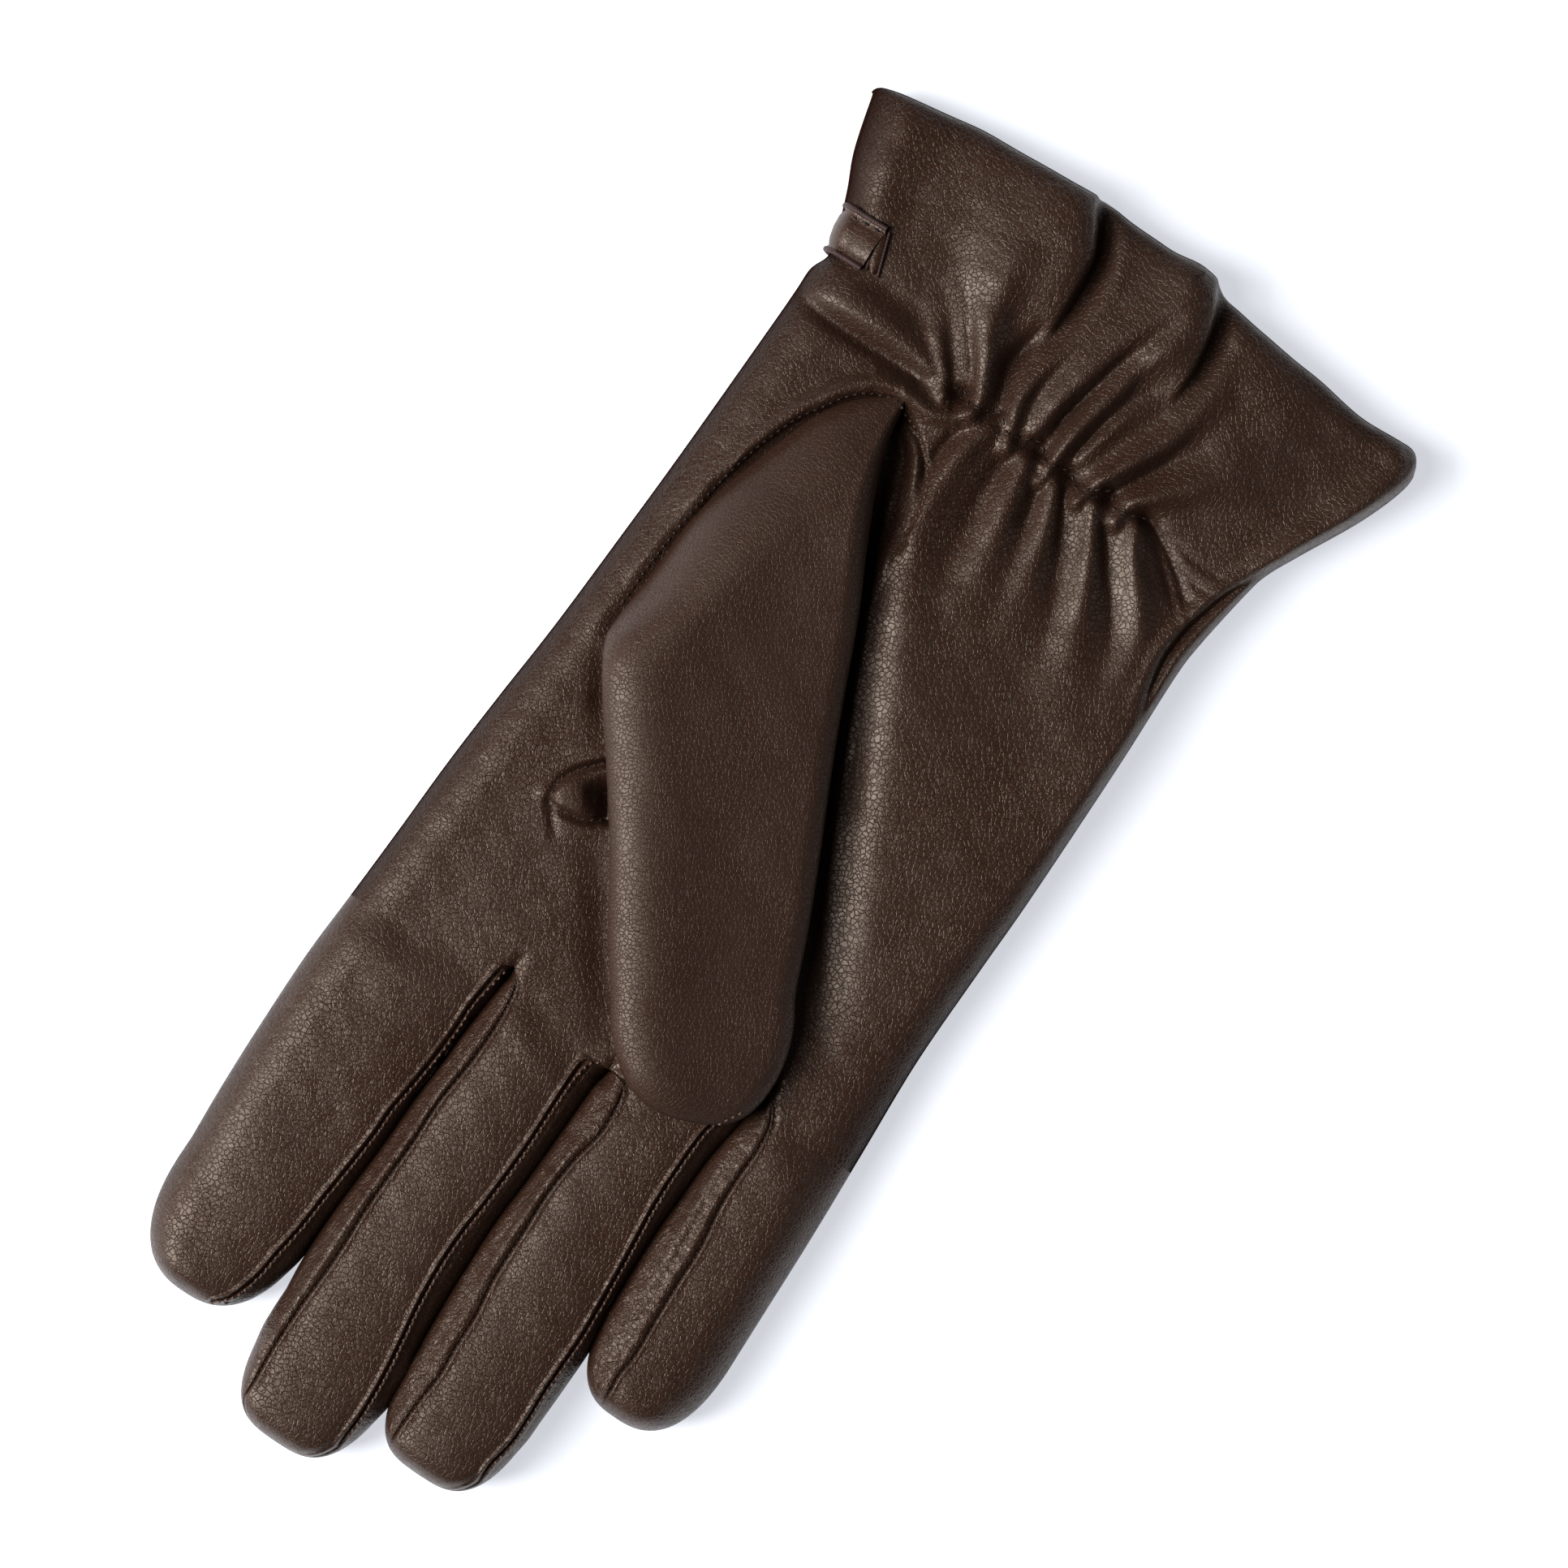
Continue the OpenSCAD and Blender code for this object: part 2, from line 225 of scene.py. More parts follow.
# Folds, [points, heights, widths on the lit side, widths on the shaded side]
CUFF_FOLDS = [
    [[(48, -90.5), (40.2, -89.8), (32, -89.8), (24.4, -88.8), (19.5, -87.2)], [0.8, 1.3, 1.5, 1.6, 1.6],
     [2.8, 3.2, 3.0, 2.4, 1.8], [4.0, 4.5, 4.2, 3.0, 1.8]],
    [[(27, -98), (22.5, -92), (19.7, -88.8), (17.9, -86.2)], [0.3, 1.2, 1.8, 1.9], [3.4, 2.4, 1.8, 1.5],
     [2.4, 1.6, 1.3, 1.2]],
    [[(25.5, -127), (23.5, -120), (21.5, -113), (19.5, -105), (17.5, -99.5), (14.6, -94), (12, -88.5),
      (11.1, -84.8)], [0.8, 1.5, 2.2, 2.7, 3.0, 3.1, 2.8, 1.8], [11, 9.5, 8, 6.5, 5.2, 4.2, 3.0, 2.0],
     [7, 6.5, 5.5, 4.4, 3.6, 2.8, 2.1, 1.5]],
    [[(5, -124), (3.4, -118.5), (3, -112), (4, -105.5), (5.2, -100.5), (6, -96), (5.8, -91), (3.4, -84.3)],
     [0.5, 0.9, 1.1, 1.4, 1.8, 2.2, 2.4, 1.7], [4, 3.6, 3.3, 3.1, 2.8, 2.4, 2.0, 1.5],
     [2.4, 2.2, 2.0, 1.8, 1.6, 1.6, 1.6, 1.4]],
    [[(-6.8, -124.7), (-5, -118), (-3.4, -111), (-2.1, -104.7), (-0.9, -99.8), (0.1, -94.5), (0.7, -89.5)],
     [0.9, 1.6, 2.3, 2.8, 3.0, 2.6, 1.3], [9, 8, 7, 6.2, 5.2, 3.8, 2.4], [4, 3.2, 2.5, 2.0, 1.7, 1.5, 1.3]],
    [[(-10.6, -119), (-9.6, -114), (-8, -108.2), (-7, -103), (-5.9, -97.7), (-5, -92.4), (-4.6, -87.5),
      (-4.4, -82.8)], [0.5, 1.1, 1.7, 2.2, 2.5, 2.7, 2.5, 1.7], [4.4, 4.0, 3.5, 3.1, 2.7, 2.4, 2.0, 1.5],
     [3.0, 2.6, 2.4, 2.2, 2.0, 1.8, 1.6, 1.4]],
    [[(-13.4, -105.5), (-10.7, -100), (-9.4, -94.6), (-8.3, -90.2)], [0.3, 1.0, 1.3, 0.8],
     [2.2, 1.8, 1.5, 1.3], [2.2, 1.8, 1.5, 1.3]],
    [[(-20.3, -121), (-21, -112.5), (-20.8, -106.8), (-19.7, -101.6), (-17.1, -96.1), (-14.8, -91.4),
      (-13, -87.3), (-11.8, -83.4)], [0.3, 0.8, 1.4, 1.9, 2.3, 2.6, 2.5, 1.7],
     [6, 5, 4.2, 3.3, 2.6, 2.1, 1.8, 1.4], [6, 4.5, 3.2, 2.6, 2.2, 1.9, 1.7, 1.4]],
    [[(-33.3, -109.8), (-31.7, -102.8), (-29.3, -98.9), (-26.5, -95.6), (-22.7, -91.7), (-19.9, -87.8),
      (-19.3, -83.8)], [0.4, 1.0, 1.5, 1.9, 2.1, 2.1, 1.5], [9, 6.5, 4.6, 3.4, 2.5, 1.9, 1.5],
     [8, 5.5, 3.8, 2.8, 2.3, 1.8, 1.4]],
    [[(52, -127), (50.4, -120), (48.6, -112), (46.3, -106.5)], [0.7, 1.5, 1.7, 0.9], [2.6, 3.0, 3.0, 2.4],
     [4, 5, 5, 3]],
    # the rolled corner and the long low edge on the little finger's side
    [[(-54.6, -121), (-55.4, -117.5), (-53, -109.6), (-48.2, -99.6), (-45.2, -92.6)],
     [1.0, 1.9, 1.9, 1.7, 0.8], [3.5, 3.6, 3.2, 2.8, 2.4], [1.8]],
    [[(-23, -122.5), (-27, -119), (-33, -116), (-40, -114)], [0.3, 0.9, 0.9, 0.3], [5], [6]],
    [[(-30, -107), (-36, -108), (-43, -110.5)], [0.2, 0.7, 0.2], [5], [5]],
]
PALM_FOLDS = [
    [[(6.8, -88.2), (9.3, -81.1), (9.6, -73.5), (8.8, -63.5), (6, -52), (2.5, -43.5), (-2.5, -36),
      (-7.6, -29), (-12.5, -21), (-17.2, -12.8), (-22.5, -4.8), (-28, 2.8), (-34, 10)],
     [1.5, 2.1, 2.0, 1.9, 1.8, 1.7, 1.6, 1.5, 1.3, 1.1, 0.8, 0.5, 0.2],
     [2.0, 3.4, 4.6, 5.2, 5.6, 5.8, 6.0, 6.2, 6.4, 6.8, 7, 8, 8],
     [1.8, 2.8, 3.6, 5, 8, 12, 15, 17, 17, 16, 14, 12, 10]],
    [[(-0.6, -84.1), (-2.4, -75.3), (-4.7, -63.2), (-5.1, -53), (-6, -44)], [1.4, 1.7, 1.2, 0.6, 0],
     [1.8, 3.0, 4.6, 6.5, 8], [2.0, 3.2, 4.8, 6.5, 8]],
    [[(-7.5, -83.3), (-10.2, -76.9), (-12.2, -68.9), (-13.9, -61.5), (-15.5, -53)], [1.5, 1.8, 1.3, 0.7, 0],
     [1.8, 2.7, 3.8, 5.2, 7], [1.6, 2.4, 3.4, 5, 7]],
    [[(-14.8, -84.6), (-18.5, -78), (-21.9, -71.1), (-25.6, -61.8), (-29, -53), (-31.5, -44)],
     [1.5, 2.0, 1.7, 1.1, 0.6, 0], [1.6, 2.1, 2.8, 4.0, 6.0, 8], [1.6, 2.4, 3.2, 4.4, 6, 7]],
    [[(-22.8, -86.3), (-25.6, -80.9), (-29.6, -76.4), (-34, -70), (-36.5, -62), (-37.5, -52)],
     [1.3, 1.7, 1.5, 1.1, 0.6, 0], [1.6, 2.1, 2.7, 3.6, 5.0, 7], [1.6, 2.1, 2.6, 3, 3.4, 4]],
]
# Soft valleys, in the same order
VALLEYS = [
    [[(44.5, -117), (42.4, -111), (39, -105)], [-0.4, -1.0, -0.4], [4.5], [4]],
    [[(48.5, -86.4), (38, -86.0), (30, -86.2), (22.5, -86.2)], [-1.5, -1.7, -1.6, -1.3], [1.8], [1.5]],
    [[(44, -95.2), (36, -95.4), (28, -95)], [-0.3, -0.7, -0.3], [2.4], [2.4]],
    [[(10, -104.4), (10.8, -100), (11, -96), (9.2, -91.6)], [-1.0, -1.6, -1.6, -1.0], [1.6], [1.5]],
    [[(2.6, -82), (2.5, -76.5), (0.4, -65.4), (-1.3, -57.3)], [-1.3, -1.1, -0.7, 0], [1.7, 2.2, 3, 4],
     [1.8, 2.4, 3, 4]],
    [[(-4, -84), (-6, -77), (-8, -67)], [-1.2, -1.0, 0], [1.5, 2, 3], [1.5, 2, 3]],
    # under the thumb's edge, and round the inside of its hole
    [[(21.5, -77.5), (18.6, -72), (15.5, -65), (12, -57), (8, -48.5), (3.5, -39.5), (-1, -30), (-5.5, -20.5),
      (-10, -11.5), (-16, 0.8), (-21, 10), (-27, 21)],
     [-1.6, -2.4, -2.6, -2.6, -2.6, -2.5, -2.5, -2.4, -2.3, -2.1, -1.8, -0.8], [5.0],
     [2.6, 3.2, 3.8, 4.2, 4.4, 4.6, 4.8, 5.0, 5.2, 5.2, 5.2, 5.2]],
    # the hollow between the thumb's hole and the first fold of the palm
    [[(10.6, -85.8), (12.2, -81), (12.7, -76), (12.0, -70.5)], [-0.8, -1.9, -1.7, -0.5], [1.3], [1.6]],
    # the thumb's weight on the palm along its other edge
    [[(41.5, -15), (38.2, -9.4), (33.5, -3)], [-0.4, -1.3, -0.3], [2.0], [2.4]],
    [[(23.5, 13.5), (17, 22), (11.2, 30), (5, 38)], [-0.6, -1.1, -1.1, -0.5], [3.2], [4]],
]
# Sharp valleys, [points, depths, widths]
CUSPS = [
    [[(27.9, -106.8), (22.8, -101.1), (19.1, -96.3), (16, -92.1), (14.2, -88)], [0, 0.5, 1.3, 1.7, 1.2],
     [1.3]],
    [[(-5.2, -111), (-3.2, -102.1), (-2, -95.3), (-2.2, -91.4), (-2.9, -87.4)], [0.2, 1.0, 1.7, 1.9, 1.6],
     [1.2]],
    [[(-8.5, -112), (-9.5, -104), (-8, -97), (-7.2, -90)], [0, 0.6, 0.8, 0.8], [1.2]],
    [[(-23.1, -112.1), (-22.7, -105.4), (-20.8, -97.3), (-18.1, -91.8), (-16.3, -87.8)],
     [0, 0.6, 1.2, 1.5, 1.3], [2.2, 2.0, 1.6, 1.3, 1.1]],
    [[(-8.9, -84.2), (-13.3, -76.3), (-17.1, -67.9), (-20.6, -61.1)], [1.7, 1.6, 0.8, 0], [1.3, 2.0, 3.0, 4]],
    [[(-18.6, -82.5), (-23.1, -76.5), (-28.6, -69.5), (-33, -62)], [1.8, 1.4, 0.7, 0], [1.3, 1.9, 2.8, 4]],
    [[(-24.3, -88.3), (-31.7, -84.1), (-37, -80), (-40.1, -77)], [1.0, 1.4, 1.2, 0.4], [0.9]],
    [[(-27.1, -85.6), (-33.2, -80.6), (-38.7, -75.5)], [0.9, 1.1, 0.4], [1.2]],
    [[(-28.2, -87.3), (-35, -86.5), (-41.5, -86.4)], [0.3, 0.6, 0.3], [0.8]],
    [[(-33, -83.6), (-37.5, -83), (-41, -83)], [0.2, 0.6, 0.3], [0.7]],
    [[(-35.5, -80.2), (-38.5, -80.2), (-40.6, -80.6)], [0.2, 0.5, 0.2], [0.6]],
]
NOSES = [(17.3, -86.2), (11.1, -84.3), (3.3, -83.8), (-4.9, -82.9), (-11.8, -82.6), (-19, -83.5)]
POCKETS = [(15, -88.4), (7.9, -88.8), (-1.2, -88.4), (-8.3, -87), (-15.8, -88.4), (-23.2, -88)]
GATHER_LINE = [(20, -87.6), (12, -87.4), (0, -87.2), (-12, -86.8), (-25, -87.6)]
FLAP_1 = [(14.9, -131), (13.6, -128), (11.4, -124.6), (9.3, -120.3), (8.5, -114.4), (8.2, -109.2),
          (8.3, -105.4), (9, -101.5)]
FLAP_2 = [(-10.4, -131.4), (-11.6, -128.4), (-13.2, -125.6), (-14.9, -121.1), (-16, -115.5), (-16.3, -110.7),
          (-15.7, -106.2)]
ARCH_SEAM = [(23.2, -80.3), (26.3, -80.1), (29.4, -78.6), (32.1, -75.8), (34.3, -72.3), (37, -67.8),
             (40.2, -58.5), (42.6, -46.3), (43.8, -34.3), (44.1, -23.8)]
ARCH_RIDGE = [(44.9, -30), (43.6, -47), (41.2, -59), (37.8, -69), (35.1, -73.8), (33, -76.9), (30, -80.2),
              (26.4, -81.9), (22, -82.2), (18.1, -81.9), (14.6, -83.4), (12.3, -86)]
HOLE_SEAM = [(23.2, -80.2), (21, -79.4), (18.4, -78.5), (15.2, -76.4), (12.1, -72.8), (10.1, -68.2),
             (9.5, -64.5)]
QUIRK_UPPER = [(35.6, 10.3), (35.7, 7.2), (34.6, 4.6), (32.8, 2.2), (30.3, -0.4)]
QUIRK_LOWER = [(35.2, 11), (32.5, 11.3), (29.3, 10.8), (27.1, 9.8), (24.6, 8.1)]
SIDE_CREASE = [(-47, -93.5), (-43.4, -86), (-41.2, -78.2), (-40.3, -72.6), (-40.4, -67.9), (-42.6, -56.5)]
# Single ridges and valleys, in the same order as the folds
DETAILS = [
    [GATHER_LINE, [-0.9], [1.6], [1.6]],
    [ARCH_RIDGE, [0.5, 0.7, 0.8, 1.0, 1.2, 1.4, 1.6, 1.8, 2.0, 2.1, 2.0, 1.6], [1.5], [2.2]],
    # the roll inside the end of the thumb's hole, and a small one further along it
    [[(20.2, -77.2), (18, -76.4), (15.8, -74.4), (13.9, -70.9), (12.8, -67.6)], [0.5, 1.3, 1.6, 1.2, 0.3],
     [1.1], [1.2]],
    [[(11.4, -61), (9.9, -55.8), (8.6, -51)], [0.2, 1.2, 0.2], [1.1], [1.2]],
    # the crease along the little finger's side, and the roll beside it
    [SIDE_CREASE, [-0.4, -0.9, -1.2, -1.2, -0.9, 0], [0.6], [0.8]],
    [[(x + 1.9, y + 0.6) for x, y in SIDE_CREASE], [0.2, 0.8, 1.0, 1.0, 0.6, 0], [1.3], [1.1]],
    # the small gusset at the foot of the thumb's seam
    [QUIRK_UPPER, [-0.5, -0.9, -1.2, -1.6, -2.0], [0.5], [0.9]],
    [QUIRK_LOWER, [-0.5, -0.9, -1.2, -1.4, -1.6], [0.9], [0.5]],
    [[(34.2, 9.8), (31.8, 7.6), (29.6, 5.6)], [0.9, 1.0, -0.6], [1.6], [2.4]],
    [[(35.2, 11.4), (32.6, 14.2), (30.2, 17)], [-0.7, -0.6, 0], [0.7], [0.9]],
]
# Overlaps of the cuff, [points, heights, length of the fall behind the rolled edge]
FLAPS = [
    [FLAP_1, [3.2, 3.6, 3.8, 3.6, 3.0, 2.2, 1.2, 0.0], 8],
    [FLAP_2, [2.8, 3.3, 3.4, 3.2, 2.6, 1.5, 0.0], 7],
]
# The step down from the palm to the thumb's leather, [points, depths, reach]
PALM_STEP = [HOLE_SEAM[::-1] + ARCH_SEAM[1:], [1.0, 1.4, 1.4, 1.3, 1.3, 1.3, 1.2, 1.0], 3.0]
# Bumps and dents, (places, height, radius)
BUMPS = [
    (NOSES, 0.2, 1.3),
    (POCKETS, -0.9, 1.5),
    ([(27.4, 4.2), (25.6, 6.4)], -2.6, 2.6),
    ([(36.9, 10.6)], 0.6, 1.1),
]


def palm_relief(xy):
    """How far the palm side stands above its smooth shape."""
    z = 0.22 * ripple(xy, 26, 3) + 0.09 * ripple(xy, 9, 5)
    folds = [ridge(xy, *f) for f in CUFF_FOLDS + PALM_FOLDS]
    # where folds meet they blend instead of adding up
    z = z + sum(np.clip(f, 0, None) ** 3 for f in folds) ** (1 / 3)
    for lines, shape in ((VALLEYS + DETAILS, ridge), (CUSPS, cusp), (FLAPS, flap),
                         ([PALM_STEP], drop_inside)):
        for line in lines:
            z = z + shape(xy, *line)
    for places, height, radius in BUMPS:
        z = z + bumps(xy, places, height, radius)
    for x, y in (CROTCH_1, CROTCH_2, CROTCH_3):
        z = z + ridge(xy, [(x, y - 3.2), (x, y + 2)], [-0.1, -1.5], [1.1], [1.1])
    return z


# ---------------------------------------------------------------- grids

SIDE_STEPS = 12  # columns round the side of the hand or of an outer finger
FOURCHETTE_STEPS = 20
PANEL_STEPS = {"little": 28, "ring": 56, "middle": 54, "index": 46}
HAND_ROWS = 344
ROW_STEP = 0.5
NORMAL_FLOOR = 1e-9


def crowd(n):
    """Shares from 0 to 1 that crowd together a little near both ends."""
    t = np.arange(n + 1) / n
    return 0.5 * t + 0.5 * (1 - np.cos(math.pi * t)) / 2


def corner(n):
    """Shares from 0 at an edge to 1, crowded at the edge."""
    return 1 - np.cos(0.5 * math.pi * np.arange(n + 1) / n)


def both_ends(n):
    """Shares from 0 to 1, crowded at both ends."""
    return 0.5 - 0.5 * np.cos(math.pi * np.arange(n + 1) / n)


def loop_of(top, low):
    """Closes a grid of top columns with every second column of the underside, in the opposite order."""
    return np.concatenate([top, low[:, -3:0:-2]], axis=1)


def flat_xy(x, y):
    return np.stack([x, y], 2).reshape(-1, 2)


def grid_normals(p, before=None):
    """Vertex normals of a grid whose columns close into a loop. before is the row that leads up to it."""
    first = 2 * p[:1] - p[1:2] if before is None else before[None]
    rows = np.concatenate([first, p, 2 * p[-1:] - p[-2:-1]])
    along = rows[2:] - rows[:-2]
    round_loop = np.roll(p, -1, axis=1) - np.roll(p, 1, axis=1)
    n = np.cross(round_loop, along)
    length = np.linalg.norm(n, axis=2, keepdims=True)
    n = n / np.maximum(length, NORMAL_FLOOR)
    n[length[..., 0] <= NORMAL_FLOOR] = (0, 0, 1)
    return n


def finger_line():
    """The hand's last row, where the fingers begin, from the little side to the thumb side."""
    (left_x, left_y), (right_x, right_y) = LINE_ENDS
    width = side_width(40)
    side = corner(SIDE_STEPS) * width
    stops = [left_x + width, CROTCH_3[0], CROTCH_2[0], CROTCH_1[0], right_x - width]
    parts = [left_x + side]
    for a, b, name in zip(stops[:-1], stops[1:], ("little", "ring", "middle", "index")):
        parts.append(a + crowd(PANEL_STEPS[name])[1:] * (b - a))
    parts.append(right_x - side[::-1][1:])
    x = np.concatenate(parts)
    corners = [LINE_ENDS[0], CROTCH_3, CROTCH_2, CROTCH_1, LINE_ENDS[1]]
    y = np.interp(x, [c[0] for c in corners], [c[1] for c in corners])
    return x, y, width / (right_x - left_x)


def hand_grid():
    """The palm's columns, the closed loop of palm and back, the palm's relief and its roundness."""
    line_x, line_y, line_side = finger_line()
    (left_x, left_y), (right_x, right_y) = LINE_ENDS
    v = np.linspace(0, 1, HAND_ROWS)
    y_left = HEM[0][1] + (left_y - HEM[0][1]) * v
    y_right = HEM[-1][1] + (right_y - HEM[-1][1]) * v
    left = x_at(LITTLE_EDGE, y_left)
    right = x_at(THUMB_EDGE, y_right)
    left = (left + (left_x - left[-1]) * v**8)[:, None]
    right = (right + (right_x - right[-1]) * v**8)[:, None]
    # the little finger's side turns under sharply at the wrist and softly at the fingers
    wide_left = np.interp(y_left, [-120, -92, -70, -30, 36], [1.5, 1.5, 2.0, 3.5, 9.0])[:, None]
    wide_right = side_width(y_right)[:, None]
    share_left = wide_left / (right - left)
    share_right = wide_right / (right - left)
    line_share = (line_x - left_x) / (right_x - left_x)
    inner = (line_share - line_side) / (1 - 2 * line_side)
    u = share_left + inner * (1 - share_left - share_right)
    u[:, : SIDE_STEPS + 1] = corner(SIDE_STEPS) * share_left
    u[:, -SIDE_STEPS - 1:] = 1 - corner(SIDE_STEPS)[::-1] * share_right
    x = left + u * (right - left)
    y = across(HEM, x[0], 0) * (1 - v[:, None]) + line_y * v[:, None]
    # the corners of the hem are rounded
    for side_gap, radius in ((x - x[:, :1], 2.4), (x[:, -1:] - x, 1.4)):
        inset = radius * (1 - quarter(side_gap / radius))
        y = y + 0.9 * inset * np.clip(1 - (y - y[:1]) / radius, 0, 1)
    q = quarter((x - left) / wide_left) * quarter((right - x) / wide_right)
    half = half_height(y)
    mid = half + FLOOR_GAP
    relief = palm_relief(flat_xy(x, y)).reshape(x.shape)
    crown = 0.5 * np.sin(np.pi * np.clip((x - left) / (right - left), 0, 1))
    z_top = mid + half * q + (relief + crown) * q**1.5
    # the hem rolls down over its last few millimetres
    z_top = z_top - 2.9 * (1 - quarter(np.abs(y - y[:1]) / 4.8)) * q
    # the back stands over the strap that lies under it
    beside = np.clip(np.abs(y - STRAP_Y) - STRAP_W / 2 - 0.2, 0, None)
    over = ease((STRAP_REACH - np.abs(x)) / 4) * ease((x - 1) / 4) * bell(beside, 1.2)
    z_low = np.maximum(mid - half * q, FLOOR_GAP + 1.25 * over)
    top = np.stack([x, y, z_top], 2)
    return top, loop_of(top, np.stack([x, y, z_low], 2)), relief, q


# ---------------------------------------------------------------- fingers

# The lines between neighbouring fingers, from their crotch outwards
GAP_1 = [CROTCH_1, (24.4, 46.4), (25.0, 53.7), (25.2, 59.7), (25.5, 65.4), (25.6, 71), (25.7, 78.6),
         (26.2, 88.5), (26.6, 95.9), (26.6, 101)]
GAP_2 = [CROTCH_2, (0.8, 48), (1.0, 54), (1.3, 68.4), (1.8, 77), (1.6, 85.5), (1.3, 94), (0.7, 102.9),
         (-0.9, 109)]
GAP_3 = [CROTCH_3, (-24.1, 39.4), (-22.9, 48), (-22.7, 56.1), (-22.5, 63.9), (-23.2, 78.6), (-24.2, 86.3)]
FINGERS = {
    "index": {
        "high": THUMB_EDGE,
        "low": GAP_1,
        "high_seam": None,
        "low_seam": [CROTCH_1, (25.5, 39.9), (26.6, 47.9), (26.6, 54.5), (26.9, 60.4), (27.4, 66.2),
                     (28, 71.7), (28, 76.5), (28.5, 83.5), (29, 89.2), (29.5, 96.6), (30.4, 103.3),
                     (30.9, 107.8), (31.8, 111.2), (33, 114.2), (35.6, 116.9)],
        "tip": 118.8, "tip_start": 98.0, "power": 2.4, "bend": 44.0, "pivot_x": 39.0,
    },
    "middle": {
        "high": GAP_1[:-2] + [(26.3, 96), (26.0, 103), (25.4, 109)],
        "low": GAP_2,
        "high_seam": [CROTCH_1, (22.2, 40.4), (21.3, 43.4), (20.9, 50.2), (21, 56.4), (21.5, 62),
                      (21.8, 66.4), (21.6, 73.8), (21.8, 82.2), (21.8, 89), (21.5, 98), (21.8, 108.9),
                      (21.7, 117), (21.2, 124.1)],
        "low_seam": [CROTCH_2, (2.6, 43.9), (4.2, 45.3), (4.8, 48), (4.9, 54), (4.7, 64), (5.1, 74.7),
                     (5.6, 81.1), (5.7, 88.2), (5, 96.5), (3.7, 104.9), (2.8, 112.3), (2.5, 118.5),
                     (2.8, 123.8)],
        "tip": 131.6, "tip_start": 108.0, "power": 2.9, "bend": 48.0, "pivot_x": 11.5,
    },
    "ring": {
        "high": GAP_2[:-2] + [(0.6, 102.9), (-0.6, 108)],
        "low": GAP_3 + [(-24.2, 95), (-24, 103)],
        "high_seam": [CROTCH_2, (-2.6, 44.6), (-4.2, 46.4), (-4.7, 52), (-4.5, 55.5), (-3.4, 61.2),
                      (-2.9, 68.7), (-3.2, 76.2), (-3.4, 85.4), (-4.4, 92.8), (-4.6, 99.2), (-5, 104.9),
                      (-4.6, 110.7), (-4.4, 116)],
        "low_seam": [CROTCH_3, (-22.5, 37), (-19.8, 42.6), (-19.3, 50.2), (-19.5, 59.3), (-20.7, 70.9),
                     (-21.3, 78.2), (-21.8, 85.5), (-21.7, 96.4), (-22, 103.3), (-21.9, 108.1), (-21, 113.1)],
        "tip": 122.4, "tip_start": 103.0, "power": 2.9, "bend": 48.0, "pivot_x": -12.9,
    },
    "little": {
        "high": GAP_3,
        "low": LITTLE_EDGE,
        "high_seam": [CROTCH_3, (-26.9, 33.4), (-28.5, 36.5), (-29, 41.1), (-28.9, 48.2), (-29.3, 54.4),
                      (-30.3, 61.2), (-30.5, 68.3), (-30.9, 76.2), (-31.3, 83.3), (-30.9, 87.2), (-31.2, 91)],
        "low_seam": None,
        "tip": 94.8, "tip_start": 77.0, "power": 2.5, "bend": 38.0, "pivot_x": -35.8,
    },
}
# Ridges beside the fingers' seams, (points, height, width)
EXTRA_RIDGES = {
    "index": [([(26.0, 47), (26.3, 53), (26.4, 60), (26.7, 68), (27, 80), (27.8, 92)], 0.55, 0.45)],
    "middle": [
        ([(21.9, 44), (21.9, 50), (22.2, 58), (22.5, 65), (22.6, 75), (23.1, 85), (23.3, 95), (23.2, 106),
          (22.6, 116)], 0.5, 0.9),
        ([(2.8, 46), (3.3, 53), (3.2, 62), (3.7, 74), (4.2, 84), (3.8, 94)], 0.5, 0.6),
    ],
    "ring": [
        ([(-3, 50), (-2.4, 56), (-2, 64), (-1.7, 74), (-1.9, 84), (-2.6, 95), (-3, 104)], 0.5, 0.9),
        ([(-20.8, 50), (-21, 60), (-21.8, 72), (-22.3, 84)], 0.5, 0.5),
    ],
    "little": [
        ([(-25.2, 40), (-24.9, 47), (-25.6, 56), (-26.2, 64), (-27.1, 74), (-28.2, 82)], 0.8, 1.3),
        ([(-27.8, 44), (-27.9, 52), (-28.7, 62), (-29.4, 74), (-30, 84)], 0.35, 0.6),
    ],
}

WALL = 3.8  # how far in from its edge a finger's side is rounded
TIP_ROWS = 34
TIP_ROLL = 5.5  # how far from its end a fingertip rolls down
SEAM_PITCH = 1.5


def seam_profile(d, pucker, facing_light):
    """The cross-section of an inseam. d grows towards the finger's outer edge."""
    groove = -0.40 * bell(d, 0.20)
    if facing_light:
        return groove + 0.45 * bell(d - 1.3, 1.1) * pucker + 0.12 * bell(d + 0.5, 0.4) - 0.1 * bell(d, 2.2)
    return groove + 0.55 * bell(np.abs(d) - 0.60, 0.36) * pucker - 0.2 * bell(d, 2.2)


